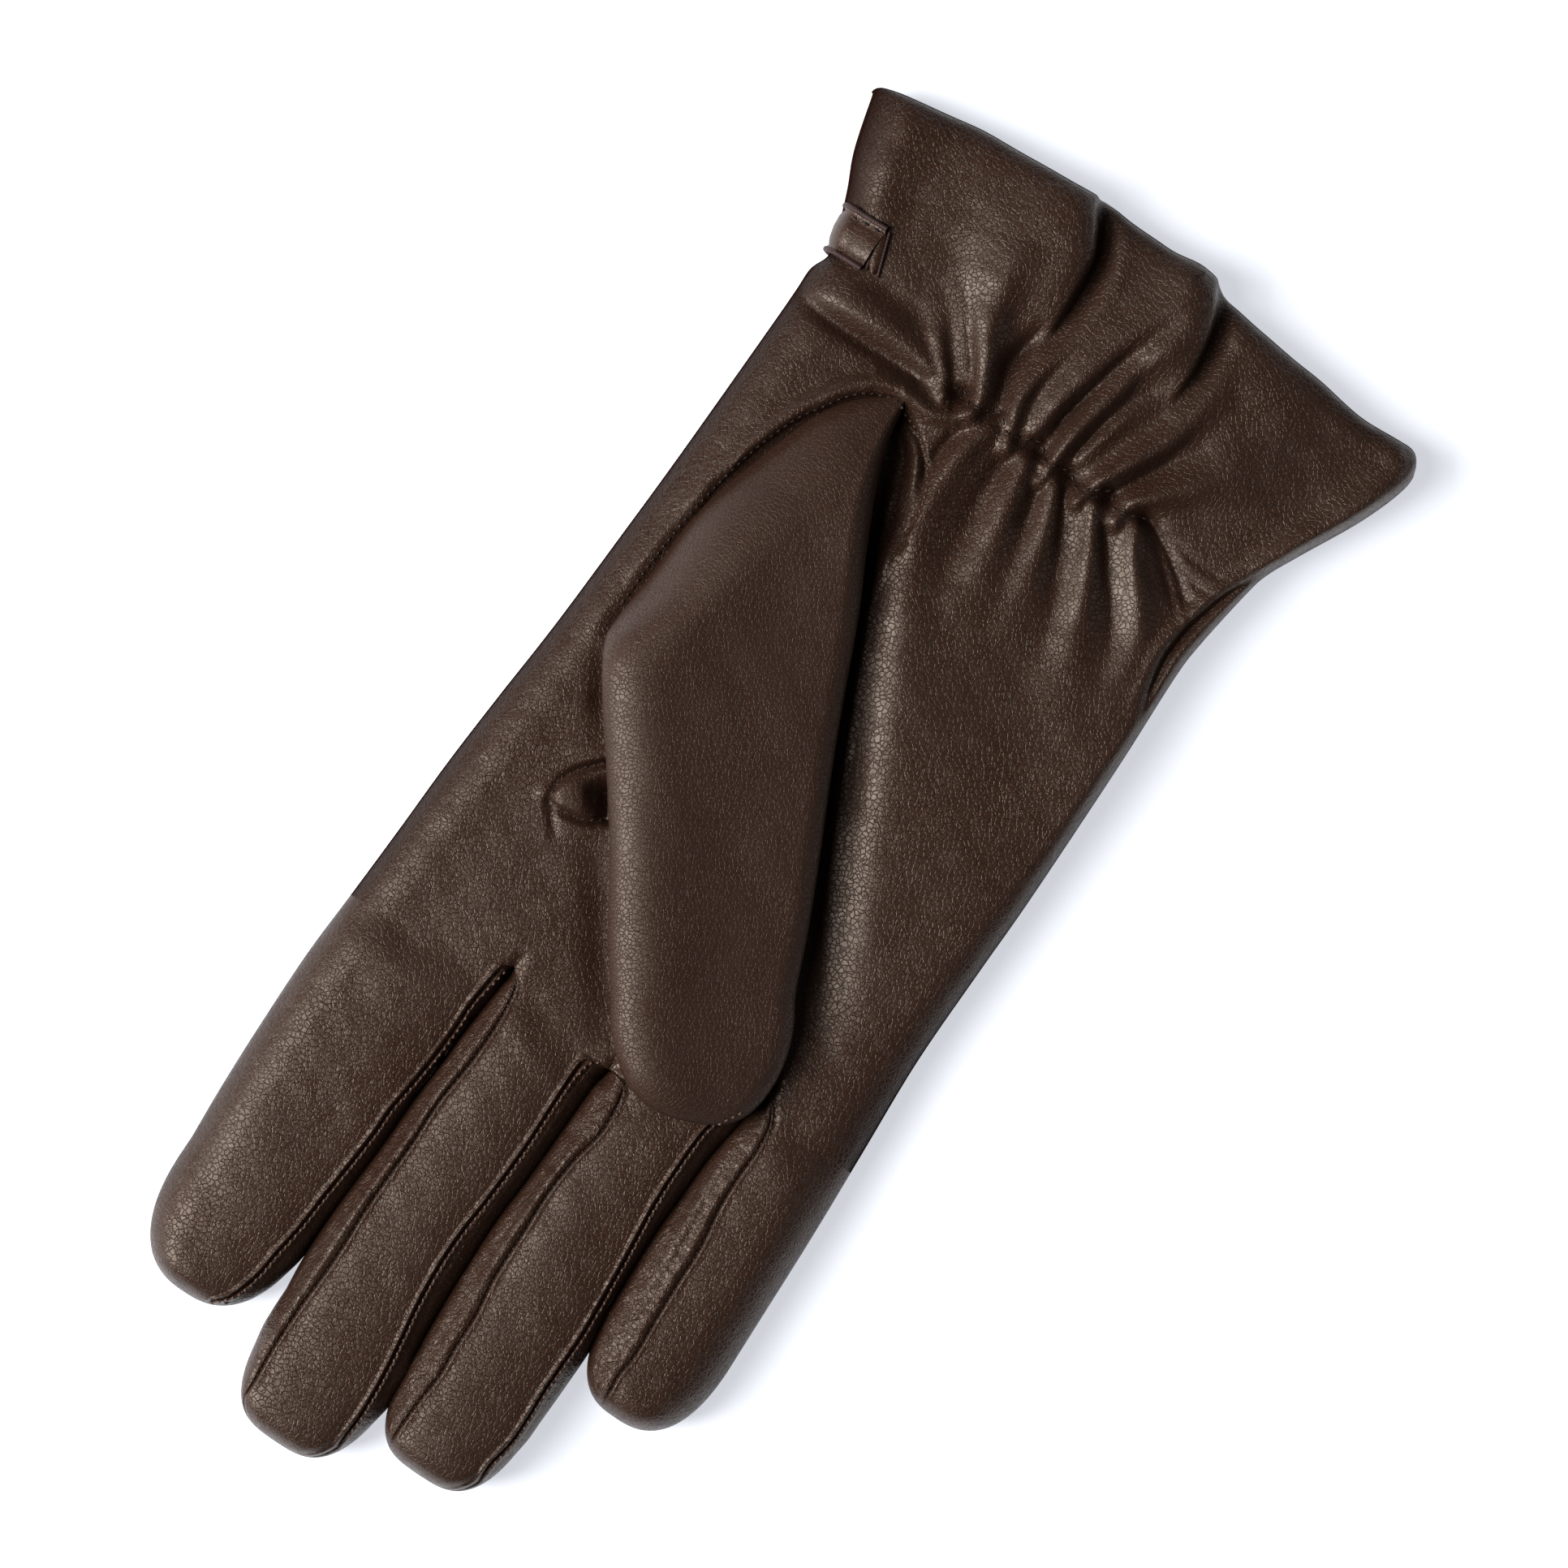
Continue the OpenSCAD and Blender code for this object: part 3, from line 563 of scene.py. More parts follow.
class FingerSide:
    """One side of a finger: the low side faces the little finger, the high side the thumb."""

    def __init__(self, finger, key, way, rows_y, start_y, start_point):
        self.way = way
        self.seam_points = finger[key + "_seam"]
        self.fold = self.seam_points is None
        self.steps = SIDE_STEPS if self.fold else FOURCHETTE_STEPS
        self.share = corner(self.steps) if self.fold else both_ends(self.steps)
        self.skip = 0 if self.fold else self.steps
        slack = np.clip(1 - (rows_y - start_y) / 26, 0, 1)
        self.y = rows_y + (start_point[1] - start_y) * slack
        self.out = x_at(finger[key], np.minimum(self.y, finger["tip_start"]))
        if self.fold:
            gap = start_point[0] - self.out[0]
            self.out = self.out + gap * np.exp(-(self.y - self.y[0]) / 6)
        else:
            # neighbours press together a little, up to where the tips part
            press = 0.3 * ease((rows_y - start_y) / 6) * ease((finger["tip"] - 12 - rows_y) / 5)
            self.out = self.out + way * press

    def place_seam(self, half_width, fold_width, ramp):
        """Sets the seam's line and how round the side is at it."""
        if self.fold:
            inward = fold_width
            self.round = np.ones_like(inward)
        else:
            inward = self.way * (self.out - x_at(self.seam_points, self.y))
            inward = np.clip(inward, 0.10 * half_width * ramp, 0.95 * half_width)
            self.round = 1 + (np.clip(inward / WALL, 0.12, 1) - 1) * ramp
        self.seam = self.out - self.way * inward

    def columns(self):
        """The x of the side's own columns, from its outer edge inwards."""
        return self.out[:, None] + (self.seam - self.out)[:, None] * self.share

    def roundness(self, x):
        """How far each column is up the rounded side. x counts from this side's outer edge."""
        rho = np.ones_like(x)
        rho[:, : self.steps + 1] = self.round[:, None] * self.share
        if not self.fold:
            inner = x[:, self.steps:]
            rho[:, self.steps:] = self.round[:, None] + np.abs(inner - self.seam[:, None]) / WALL
        return quarter(rho)


def finger_grid(name, start_row):
    """A finger's loop of columns, and its painted shade. start_row is the hand's last row over this finger.
    """
    f = FINGERS[name]
    n_mid = PANEL_STEPS[name]
    start_y = max(start_row[0, 1], start_row[-1, 1])
    tip_len = f["tip"] - f["tip_start"]
    tip = f["tip_start"] + tip_len * np.sin(0.5 * math.pi * np.arange(TIP_ROWS) / (TIP_ROWS - 0.6))
    rows_y = np.concatenate([np.arange(start_y, f["tip_start"], ROW_STEP), tip])
    low = FingerSide(f, "low", -1, rows_y, start_y, start_row[0])
    high = FingerSide(f, "high", 1, rows_y, start_y, start_row[-1])
    # the outline narrows to the tip
    t = np.clip((rows_y - f["tip_start"]) / tip_len, 0, 1)
    narrow = (1 - t ** f["power"]) ** (1 / f["power"])
    centre = (low.out + high.out) / 2
    full_width = (high.out - low.out) / 2
    half_width = full_width * narrow
    fold_width = np.minimum(side_width(rows_y) * np.minimum(1, 0.25 + 0.75 * narrow), half_width * 0.8)
    ramp = ease((rows_y - start_y) / 9)
    for side in (low, high):
        side.out = centre + side.way * half_width
        side.place_seam(half_width, fold_width, ramp)
    panel = low.seam[:, None] + (high.seam - low.seam)[:, None] * crowd(n_mid)
    x = np.concatenate([low.columns()[:, :-1], panel, high.columns()[:, ::-1][:, 1:]], axis=1)
    # y follows the slanted start and becomes straight further out
    start = np.pad(start_row[:, 1], (low.skip, high.skip), mode="edge")
    slack = np.clip(1 - (rows_y - start_y) / 26, 0, 1)
    y = rows_y[:, None] + (start - start_y) * slack[:, None]
    q_low = low.roundness(x) ** (1 if low.fold else 0.8)
    q_high = high.roundness(x[:, ::-1])[:, ::-1] ** (1 if high.fold else 0.5)
    q = q_low * q_high
    end = (1 - np.clip((y - (f["tip"] - TIP_ROLL)) / TIP_ROLL, 0, 1) ** 3) ** 0.5
    half = half_height(y) * end
    mid = half_height(y) * (0.82 + 0.18 * end) + FLOOR_GAP
    xy = flat_xy(x, y)
    relief = (0.16 * ripple(xy, 22, 11) + 0.07 * ripple(xy, 8, 12)).reshape(x.shape)
    relief = relief + palm_relief(xy).reshape(x.shape) * bell(rows_y - start_y, 8)[:, None]
    fade = ease((rows_y - start_y) / 2.5)[:, None]
    # painted shade: darker where the sides and the tip's end turn down, and in the seams' grooves, more where
    # a seam faces away from the light; rim keeps the sides' part for the underside
    painted_dark = np.maximum((1 - q_low) ** (2 if low.fold else 1.3), (1 if high.fold else 0.6) * (1 - q_high) ** 2)
    rim = painted_dark
    painted_dark = np.maximum(painted_dark, (1 - end) ** 1.5)
    low_ridge = np.zeros_like(x)
    for side, seed in ((low, 1), (high, 2)):
        d = (x - side.seam[:, None]) * side.way
        if side.fold:
            continue
        low_ridge = low_ridge + 0.9 * bell(d, 0.5) * fade * end
        pucker = 1 + 0.30 * np.sin(rows_y * 2.9 + seed) * np.sin(rows_y * 1.13 + 2 * seed)
        scale = np.clip(half_width / 6, 0.25, 1)[:, None]
        facing_light = side.way > 0
        profile = seam_profile(d / np.maximum(scale, 0.4), pucker[:, None], facing_light)
        relief = relief + profile * fade * scale
        dots = 0.75 + 0.25 * np.sin(math.tau * rows_y / SEAM_PITCH)
        painted_dark = np.maximum(painted_dark, (0.5 if facing_light else 0.85) * bell(d, 0.28) * dots[:, None])
    for points, height, width in EXTRA_RIDGES[name]:
        heights = [0.1, height, height, height * 0.7, 0.1]
        relief = relief + ridge(xy, points, heights, [width], [width]).reshape(x.shape)
    from_centre = (x - centre[:, None]) / np.maximum(half_width, 1)[:, None]
    crown = 1.5 * np.clip(1 - from_centre**2, 0, 1) * ramp[:, None]
    lift = np.clip(q, 0, 1) ** 0.8
    z_top = mid + half * q + (relief + crown * end) * lift * end
    z_low = np.maximum(mid - half * q + low_ridge * lift, FLOOR_GAP)
    loop = loop_of(np.stack([x, y, z_top], 2), np.stack([x, y, z_low], 2))
    return loop, {"low": low, "high": high, "top": x.shape[1], "y": rows_y, "painted_shade": loop_of(painted_dark, rim)}


# ---------------------------------------------------------------- materials

LEATHER = (0.0450, 0.0207, 0.0128)
# the dark of the grain's valleys, and the colour that painted shade goes to
DARK_GRAIN_AND_SHADE = (0.017, 0.0066, 0.0040)
EDGE_RED = (0.040, 0.0110, 0.0085)
THREAD_BROWN = (0.030, 0.0130, 0.0090)
# a paler copy of the thread colour, a painted highlight on stitches that face the light
THREAD_PAINTED_LIT = (0.14, 0.080, 0.056)
LINING_BROWN = (0.085, 0.055, 0.037)
ELASTIC_BROWN = (0.03, 0.024, 0.02)


def tinted(color, *factors):
    """A colour with its channels multiplied by one factor, or by one each."""
    factors = factors * 3 if len(factors) == 1 else factors
    return tuple(c * k for c, k in zip(color, factors))


class Nodes:
    """A small helper that builds a material's node tree."""

    def __init__(self, name):
        self.material = bpy.data.materials.new(name)
        self.material.use_nodes = True
        self.tree = self.material.node_tree
        self.tree.nodes.clear()
        out = self.tree.nodes.new("ShaderNodeOutputMaterial")
        self.shader = self.tree.nodes.new("ShaderNodeBsdfPrincipled")
        self.tree.links.new(self.shader.outputs[0], out.inputs[0])
        self.place = self.node("ShaderNodeAttribute", attribute_name="place_mm").outputs["Vector"]

    def set(self, socket, value):
        if isinstance(value, bpy.types.NodeSocket):
            self.tree.links.new(value, socket)
        elif isinstance(value, tuple) and len(socket.default_value) == 4:
            socket.default_value = (*value, 1)
        else:
            socket.default_value = value

    def node(self, kind, values=None, **settings):
        n = self.tree.nodes.new(kind)
        for key, value in settings.items():
            setattr(n, key, value)
        for key, value in (values or {}).items():
            self.set(n.inputs[key], value)
        return n

    def look(self, **values):
        """Sets or links the shader's inputs. An underscore stands for a space."""
        for key, value in values.items():
            self.set(self.shader.inputs[key.replace("_", " ")], value)

    def math(self, operation, a, b=0.0):
        return self.node("ShaderNodeMath", {0: a, 1: b}, operation=operation).outputs[0]

    def add(self, a, b):
        return self.math("ADD", a, b)

    def times(self, a, b):
        return self.math("MULTIPLY", a, b)

    def less(self, a, b):
        return self.math("SUBTRACT", a, b)

    def vector(self, operation, a, b):
        return self.node("ShaderNodeVectorMath", {0: a, 1: b}, operation=operation).outputs[0]

    def noise(self, at, scale, detail, rough=0.5, distortion=0.0, output="Fac"):
        values = {"Vector": at, "Scale": scale, "Detail": detail, "Roughness": rough,
                  "Distortion": distortion}
        return self.node("ShaderNodeTexNoise", values).outputs[output]

    def wave(self, scale, distortion, detail=2.0, direction="X"):
        values = {"Vector": self.place, "Scale": scale, "Distortion": distortion, "Detail": detail}
        return self.node("ShaderNodeTexWave", values, bands_direction=direction).outputs["Fac"]

    def span(self, value, low, high, to=(0.0, 1.0), kind="LINEAR"):
        """Maps a value between low and high to the range in to."""
        values = {"Value": value, "From Min": low, "From Max": high, "To Min": to[0], "To Max": to[1]}
        return self.node("ShaderNodeMapRange", values, interpolation_type=kind).outputs[0]

    def mix(self, factor, a, b):
        return self.node("ShaderNodeMix", {0: factor, 6: a, 7: b}, data_type="RGBA").outputs[2]

    def bump(self, height, strength, distance, **under):
        values = {"Height": height, "Strength": strength, "Distance": distance, **under}
        return self.node("ShaderNodeBump", values).outputs[0]


def leather_material(name, base, grain=1.0, wrinkle=0.25, roughness=(0.29, 0.41), seed=0.0, fine=1.1):
    """Grain leather: small plateaus with dark valleys, pores, fine wrinkles and slow changes of tone, with
    painted shade from a per-point attribute that darkens the colour and takes out the reflection.
    """
    m = Nodes(name)
    at = m.vector("ADD", m.place, (seed, seed * 0.7, seed * 0.3))
    warp = m.vector("MULTIPLY", m.noise(at, 0.9, 2.0, output="Color"), (0.7, 0.7, 0.7))
    cells = m.node("ShaderNodeTexVoronoi", {"Vector": m.vector("ADD", at, warp), "Scale": fine},
                   feature="DISTANCE_TO_EDGE")
    plateau = m.span(cells.outputs["Distance"], 0.0, 0.13, kind="SMOOTHSTEP")
    pores = m.noise(at, 2.6, 3.0, 0.6)
    folds = m.noise(at, 0.32, 4.0, 0.62, 0.8)
    patches = m.noise(at, 0.045, 3.0, 0.55)
    crinkle = m.span(m.math("ABSOLUTE", m.less(folds, 0.5)), 0.0, 0.10)
    amount = m.span(patches, 0.35, 0.65, (0.55, 1.0))
    grain_height = m.add(m.times(plateau, amount), m.times(pores, 0.22))
    grain_bump = m.bump(grain_height, 1.0, 0.000065 * grain)
    fold_height = m.times(crinkle, m.times(amount, wrinkle))
    # painted shade: this attribute darkens the colour and cuts the reflection in creases, seams, turned-under
    # rims and the thumb's shadow
    painted_shade = m.node("ShaderNodeAttribute", attribute_name="painted_shade").outputs["Fac"]
    valley = m.less(1.0, plateau)
    color = m.mix(m.span(patches, 0.3, 0.7), tinted(base, 0.92, 1.0, 1.05), tinted(base, 1.10, 0.98, 0.92))
    color = m.mix(m.times(valley, 0.8 * grain), color, DARK_GRAIN_AND_SHADE)
    color = m.mix(m.times(pores, 0.22), color, tinted(base, 1.35))
    rough = m.add(m.span(folds, 0.3, 0.7, roughness), m.times(valley, 0.12))
    m.look(Normal=m.bump(fold_height, 0.8, 0.00020, Normal=grain_bump), Roughness=rough,
           Base_Color=m.mix(painted_shade, color, DARK_GRAIN_AND_SHADE),
           Specular_IOR_Level=m.times(m.less(1.0, painted_shade), 0.58), Specular_Tint=(1.0, 0.85, 0.72))
    return m.material


def knit_material(name, base):
    m = Nodes(name)
    stitch = m.times(m.wave(0.5, 1.2, 1.0), m.wave(0.34, 0.6, direction="Y"))
    yarn = m.add(stitch, m.times(m.noise(m.place, 2.2, 4.0), 0.6))
    m.look(Normal=m.bump(yarn, 0.7, 0.00035), Base_Color=m.mix(yarn, tinted(base, 0.6), base), Roughness=0.9,
           Sheen_Weight=0.3)
    return m.material


def thread_material(name, base, roughness):
    m = Nodes(name)
    twist = m.wave(1.6, 0.6, direction="DIAGONAL")
    color = m.mix(m.noise(m.place, 4.0, 2.0), tinted(base, 0.7), tinted(base, 1.3))
    m.look(Normal=m.bump(twist, 0.5, 0.0001), Base_Color=color, Roughness=roughness)
    return m.material


MAIN = leather_material("glove_leather", LEATHER)
THUMB_LEATHER = leather_material("thumb_leather", tinted(LEATHER, 0.93, 0.84, 0.80), grain=0.9, wrinkle=0.12,
                                 roughness=(0.39, 0.49), seed=37.0, fine=1.35)
SIDE_LEATHER = leather_material("fourchette_leather", tinted(LEATHER, 0.95, 0.9, 0.88), grain=0.9,
                                wrinkle=0.8, seed=71.0)
STRAP_LEATHER = leather_material("strap_leather", tinted(LEATHER, 1.0, 0.9, 0.86), grain=0.6, wrinkle=0.2,
                                 seed=15.0)
EDGE = thread_material("edge_paint", EDGE_RED, 0.6)
THREAD = thread_material("brown_thread", THREAD_BROWN, 0.5)
PAINTED_LIT_THREAD = thread_material("brown_thread_painted_lit", THREAD_PAINTED_LIT, 0.5)
KNIT = knit_material("knit_lining", LINING_BROWN)
ELASTIC = knit_material("elastic_band", ELASTIC_BROWN)

# ---------------------------------------------------------------- meshes

FLOOR_CLEARANCE = 0.02
PIECES = {}


def make_mesh(name, grid, normals, material, closed_columns=False, painted_shade=None, flip=False):
    """A quad mesh from a grid of points in millimetres."""
    rows, cols = grid.shape[:2]
    index = np.arange(rows * cols).reshape(rows, cols)
    if closed_columns:
        index = np.concatenate([index, index[:, :1]], axis=1)
    quads = np.stack([index[:-1, :-1], index[:-1, 1:], index[1:, 1:], index[1:, :-1]], 2).reshape(-1, 4)
    if flip:
        quads = quads[:, ::-1]
    flat = grid.reshape(-1, 3).copy()
    flat[:, 2] = np.maximum(flat[:, 2], FLOOR_CLEARANCE)
    mesh = bpy.data.meshes.new(name)
    mesh.vertices.add(len(flat))
    mesh.vertices.foreach_set("co", (flat * MM).astype(np.float32).ravel())
    mesh.loops.add(quads.size)
    mesh.loops.foreach_set("vertex_index", quads.astype(np.int32).ravel())
    mesh.polygons.add(len(quads))
    mesh.polygons.foreach_set("loop_start", np.arange(0, quads.size, 4, dtype=np.int32))
    mesh.polygons.foreach_set("loop_total", np.full(len(quads), 4, dtype=np.int32))
    mesh.polygons.foreach_set("use_smooth", np.ones(len(quads), dtype=bool))
    mesh.update()
    if normals is not None:
        mesh.normals_split_custom_set_from_vertices([tuple(v) for v in normals.reshape(-1, 3)])
    return finish_mesh(name, mesh, material, flat, painted_shade)


def finish_mesh(name, mesh, material, flat, painted_shade=None):
    """Gives a mesh its material and what the material reads: the place in millimetres and the painted shade.
    """
    place = mesh.attributes.new("place_mm", "FLOAT_VECTOR", "POINT")
    place.data.foreach_set("vector", flat.astype(np.float32).ravel())
    # painted shade, stored per point for the leather to darken by
    painted_dark = mesh.attributes.new("painted_shade", "FLOAT", "POINT")
    values = np.zeros(len(flat)) if painted_shade is None else np.clip(painted_shade, 0, 1).reshape(-1)
    painted_dark.data.foreach_set("value", values.astype(np.float32))
    mesh.materials.append(material)
    obj = bpy.data.objects.new(name, mesh)
    bpy.context.scene.collection.objects.link(obj)
    PIECES[name] = obj
    return obj


def settle(obj, nodes=(), body="hand", bend=None):
    """Attaches a piece to the body it moves with, or bakes its transform in place when a bend is given, and
    hides the model's parts that it stands for.
    """
    if bend is None:
        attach(obj, body)
    else:
        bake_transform(obj)
    if nodes:
        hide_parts(*nodes)


def add_lining(name, node, points, normals, inset, heights, body="hand", bend=None):
    """A knitted lining that follows the leather inside."""
    inner = points - inset * normals
    inner[..., 2] = np.clip(inner[..., 2], *heights)
    settle(make_mesh(name, inner, None, KNIT, closed_columns=True), [node], body, bend)


def loop_columns(loop, start, stop):
    """Loop columns from start to stop inclusive, counting on past the end of the loop."""
    return [i % loop.shape[1] for i in range(start, stop + 1)]


BEND_HEIGHT = 13
LINING_HEIGHTS = (1.6, 11.2)


def in_m(p):
    return tuple(float(v) * MM for v in p)


def finger_bend(name):
    """The stretch of a finger that bends between the hand and the finger's own body."""
    x, y = FINGERS[name]["pivot_x"], FINGERS[name]["bend"]
    return in_m((x, y - 3, BEND_HEIGHT)), in_m((x, y + 19, BEND_HEIGHT))


# ---------------------------------------------------------------- hand and fingers


def join_to_hand(loop, info, row):
    """Draws a finger's first rows to the hand's own last row."""
    own = info["own"]
    pull = np.zeros((info["top"], 3))
    pull[own] = row - loop[0, own]
    pull[: own.start] = pull[own.start] * np.linspace(0, 1, own.start, endpoint=False)[:, None]
    pull[own.stop:] = pull[own.stop - 1] * np.linspace(1, 0, info["high"].skip + 1)[1:, None]
    fade = bell(info["y"] - info["y"][0], 5.0)
    loop[:, : info["top"]] += pull * fade[:, None, None]


hand_top, hand_loop, hand_relief, hand_round = hand_grid()
hand_normals = grid_normals(hand_loop)
fingers = {}
begin = 0
for name in ("little", "ring", "middle", "index"):
    stop = begin + PANEL_STEPS[name] + (SIDE_STEPS if name in ("little", "index") else 0)
    over_finger = slice(begin, stop + 1)
    loop, info = finger_grid(name, hand_top[-1, over_finger])
    own = slice(info["low"].skip, info["top"] - info["high"].skip)
    info["own"] = own
    join_to_hand(loop, info, hand_top[-1, over_finger])
    # the normals run on across the finger line
    before = 2 * loop[0] - loop[1]
    before[own] = hand_top[-2, over_finger]
    normals = grid_normals(loop, before)
    hand_normals[-1, over_finger][3:-3] = normals[0, own][3:-3]
    fingers[name] = (loop, normals, info)
    begin = stop

THUMB_SHADOW = [(19.5, -74), (17.4, -69.5), (14.4, -61), (11.4, -52.5), (6, -41.5), (0.2, -29.5),
                (-4.5, -18.5), (-9.5, -9), (-16, 2.5), (-22, 12), (-27.5, 22)]
SHADOW_DEPTHS = [0.7, 0.9, 1.0, 1.0, 1.0, 0.95, 0.95, 0.95, 0.9, 0.6, 0.0]
SHADOW_WIDTHS = [2.4, 2.4, 1.6, 1.6, 1.8, 1.6, 1.6, 1.8, 2.2, 3, 3]


def rim_painted_shade(roundness):
    """Painted shade where the edge's leather turns under, away from the light."""
    return np.clip(1.5 * (1 - roundness), 0, 1) ** 1.2


def add_hand():
    """The palm above and the back below."""
    shape = hand_relief.shape
    xy = flat_xy(hand_top[..., 0], hand_top[..., 1])
    hem_gap = np.abs(hand_top[..., 1] - hand_top[:1, :, 1])
    # painted shade: darker in the relief's valleys, along the hem's roll, where the sides turn under, in the
    # gather's pockets and in the thumb's shadow
    painted_shade_layers = [
        np.clip((0.2 - hand_relief) / 4.0, 0, 0.75),
        0.6 * bell(hem_gap, 2.2),
        rim_painted_shade(hand_round),
        bumps(xy, POCKETS, 0.85, 1.3).reshape(shape),
        ridge(xy, THUMB_SHADOW, SHADOW_DEPTHS, [4.0], SHADOW_WIDTHS).reshape(shape),
    ]
    top_count = shape[1]
    palm = make_mesh("palm_trank", hand_loop[:, :top_count], hand_normals[:, :top_count], MAIN,
                     painted_shade=np.maximum.reduce(painted_shade_layers))
    settle(palm, ["trank_palm"])
    cols = loop_columns(hand_loop, top_count - 1, hand_loop.shape[1])
    # painted shade where the back's sides turn under
    back_painted_shade = rim_painted_shade(loop_of(hand_round, hand_round)[:, cols])
    back = make_mesh("back_trank", hand_loop[:, cols], hand_normals[:, cols], MAIN, painted_shade=back_painted_shade)
    settle(back, ["trank_back"])


add_hand()

FOURCHETTES = {
    "index": {"low": "fourchette"},
    "middle": {"high": "fourchette_index_side", "low": "fourchette_ring_side"},
    "ring": {"high": "fourchette_middle_side", "low": "fourchette_little_side"},
    "little": {"high": "fourchette"},
}


def add_finger(name):
    """A finger's front and back panels, its fourchettes and its lining."""
    loop, normals, info = fingers[name]
    low, high = info["low"], info["high"]
    last = info["top"] - 1
    count = loop.shape[1]
    low_seam = low.steps
    high_seam = last - high.steps

    def under(column):
        """The underside's column below a top column."""
        return last + (last - column) // 2

    columns = {
        "front": (0 if low.fold else low_seam, last if high.fold else high_seam),
        "back": (last if high.fold else under(high_seam), count if low.fold else under(low_seam)),
    }
    sides = {"low": (under(low_seam), count + low_seam), "high": (high_seam, under(high_seam))}
    columns.update((part, sides[key]) for key, part in FOURCHETTES[name].items())
    bend = finger_bend(name)
    for part, (start, stop) in columns.items():
        cols = loop_columns(loop, start, stop)
        material = MAIN if part in ("front", "back") else SIDE_LEATHER
        panel = make_mesh(name + "_" + part + "_panel", loop[:, cols], normals[:, cols], material,
                          painted_shade=info["painted_shade"][:, cols])
        settle(panel, [name + "_" + part], name, bend)
    add_lining(name + "_knit_lining", name + "_lining", loop[::4, ::3][:-3], normals[::4, ::3][:-3], 1.5,
               LINING_HEIGHTS, name, bend)


for name in ("index", "middle", "ring", "little"):
    add_finger(name)

# ---------------------------------------------------------------- thumb

# The thumb's own axes: the origin on the fold at its root, y along the folded thumb
THUMB_ANGLE = math.radians(25)
BEND_POINT = np.array([25.0, -30.0])
COS_T, SIN_T = math.cos(THUMB_ANGLE), math.sin(THUMB_ANGLE)
THUMB_LEFT = [
    (-24.0, -46.5), (-16.9, -45.3), (-8.9, -40.9), (0.2, -31.5), (8.5, -21.8), (15.1, -9.5), (20.2, 0.3),
    (21.4, 4.9), (20.2, 13.8), (17.8, 24.9), (15, 38.8), (12.8, 54.3), (10.9, 64),
]
THUMB_RIGHT = [
    (-25.0, -47.2), (-23.6, -44), (-22.0, -38), (-21.2, -30), (-21.2, -18.6), (-21.6, -7.1), (-21.3, 7.3),
    (-21.2, 20.3), (-21.5, 36), (-21.5, 48.8), (-21.1, 59), (-21.6, 64),
]
THUMB_TIP = [
    (10.9, 64), (9.4, 71.4), (6.2, 78.4), (2.1, 82.2), (-2.9, 84), (-9.6, 84.3), (-14.2, 83), (-17.5, 80),
    (-19.9, 75.4), (-21.2, 70.8), (-21.6, 67), (-21.6, 64),
]
THUMB_STEPS = 56
THUMB_TIP_ROWS = 43
THUMB_ROOT_Y = -14  # where the root's panel, which stays on the hand, ends
THUMB_LINING_Y = 6
THUMB_LINING_HEIGHTS = (14.6, 22.6)


def thumb_outline():
    """The ends of every row, left and right, in the thumb's own axes."""
    body = np.arange(-47, 64, ROW_STEP)
    left = np.stack([x_at(THUMB_LEFT, body), body], 1)
    right = np.stack([x_at(THUMB_RIGHT, body), body], 1)
    # tip rows run from the left side of the tip's outline to the right side
    tip = smooth_line(THUMB_TIP, 12)
    length = lengths_along(tip)
    meet = 0.52 * length[-1]
    share = np.linspace(0, 1, THUMB_TIP_ROWS + 1)[1:]

    def on_tip(at):
        return np.stack([np.interp(at, length, tip[:, i]) for i in (0, 1)], 1)

    left = np.concatenate([left, on_tip(meet * share)])
    right = np.concatenate([right, on_tip(length[-1] + (meet - length[-1]) * share)])
    return left, right


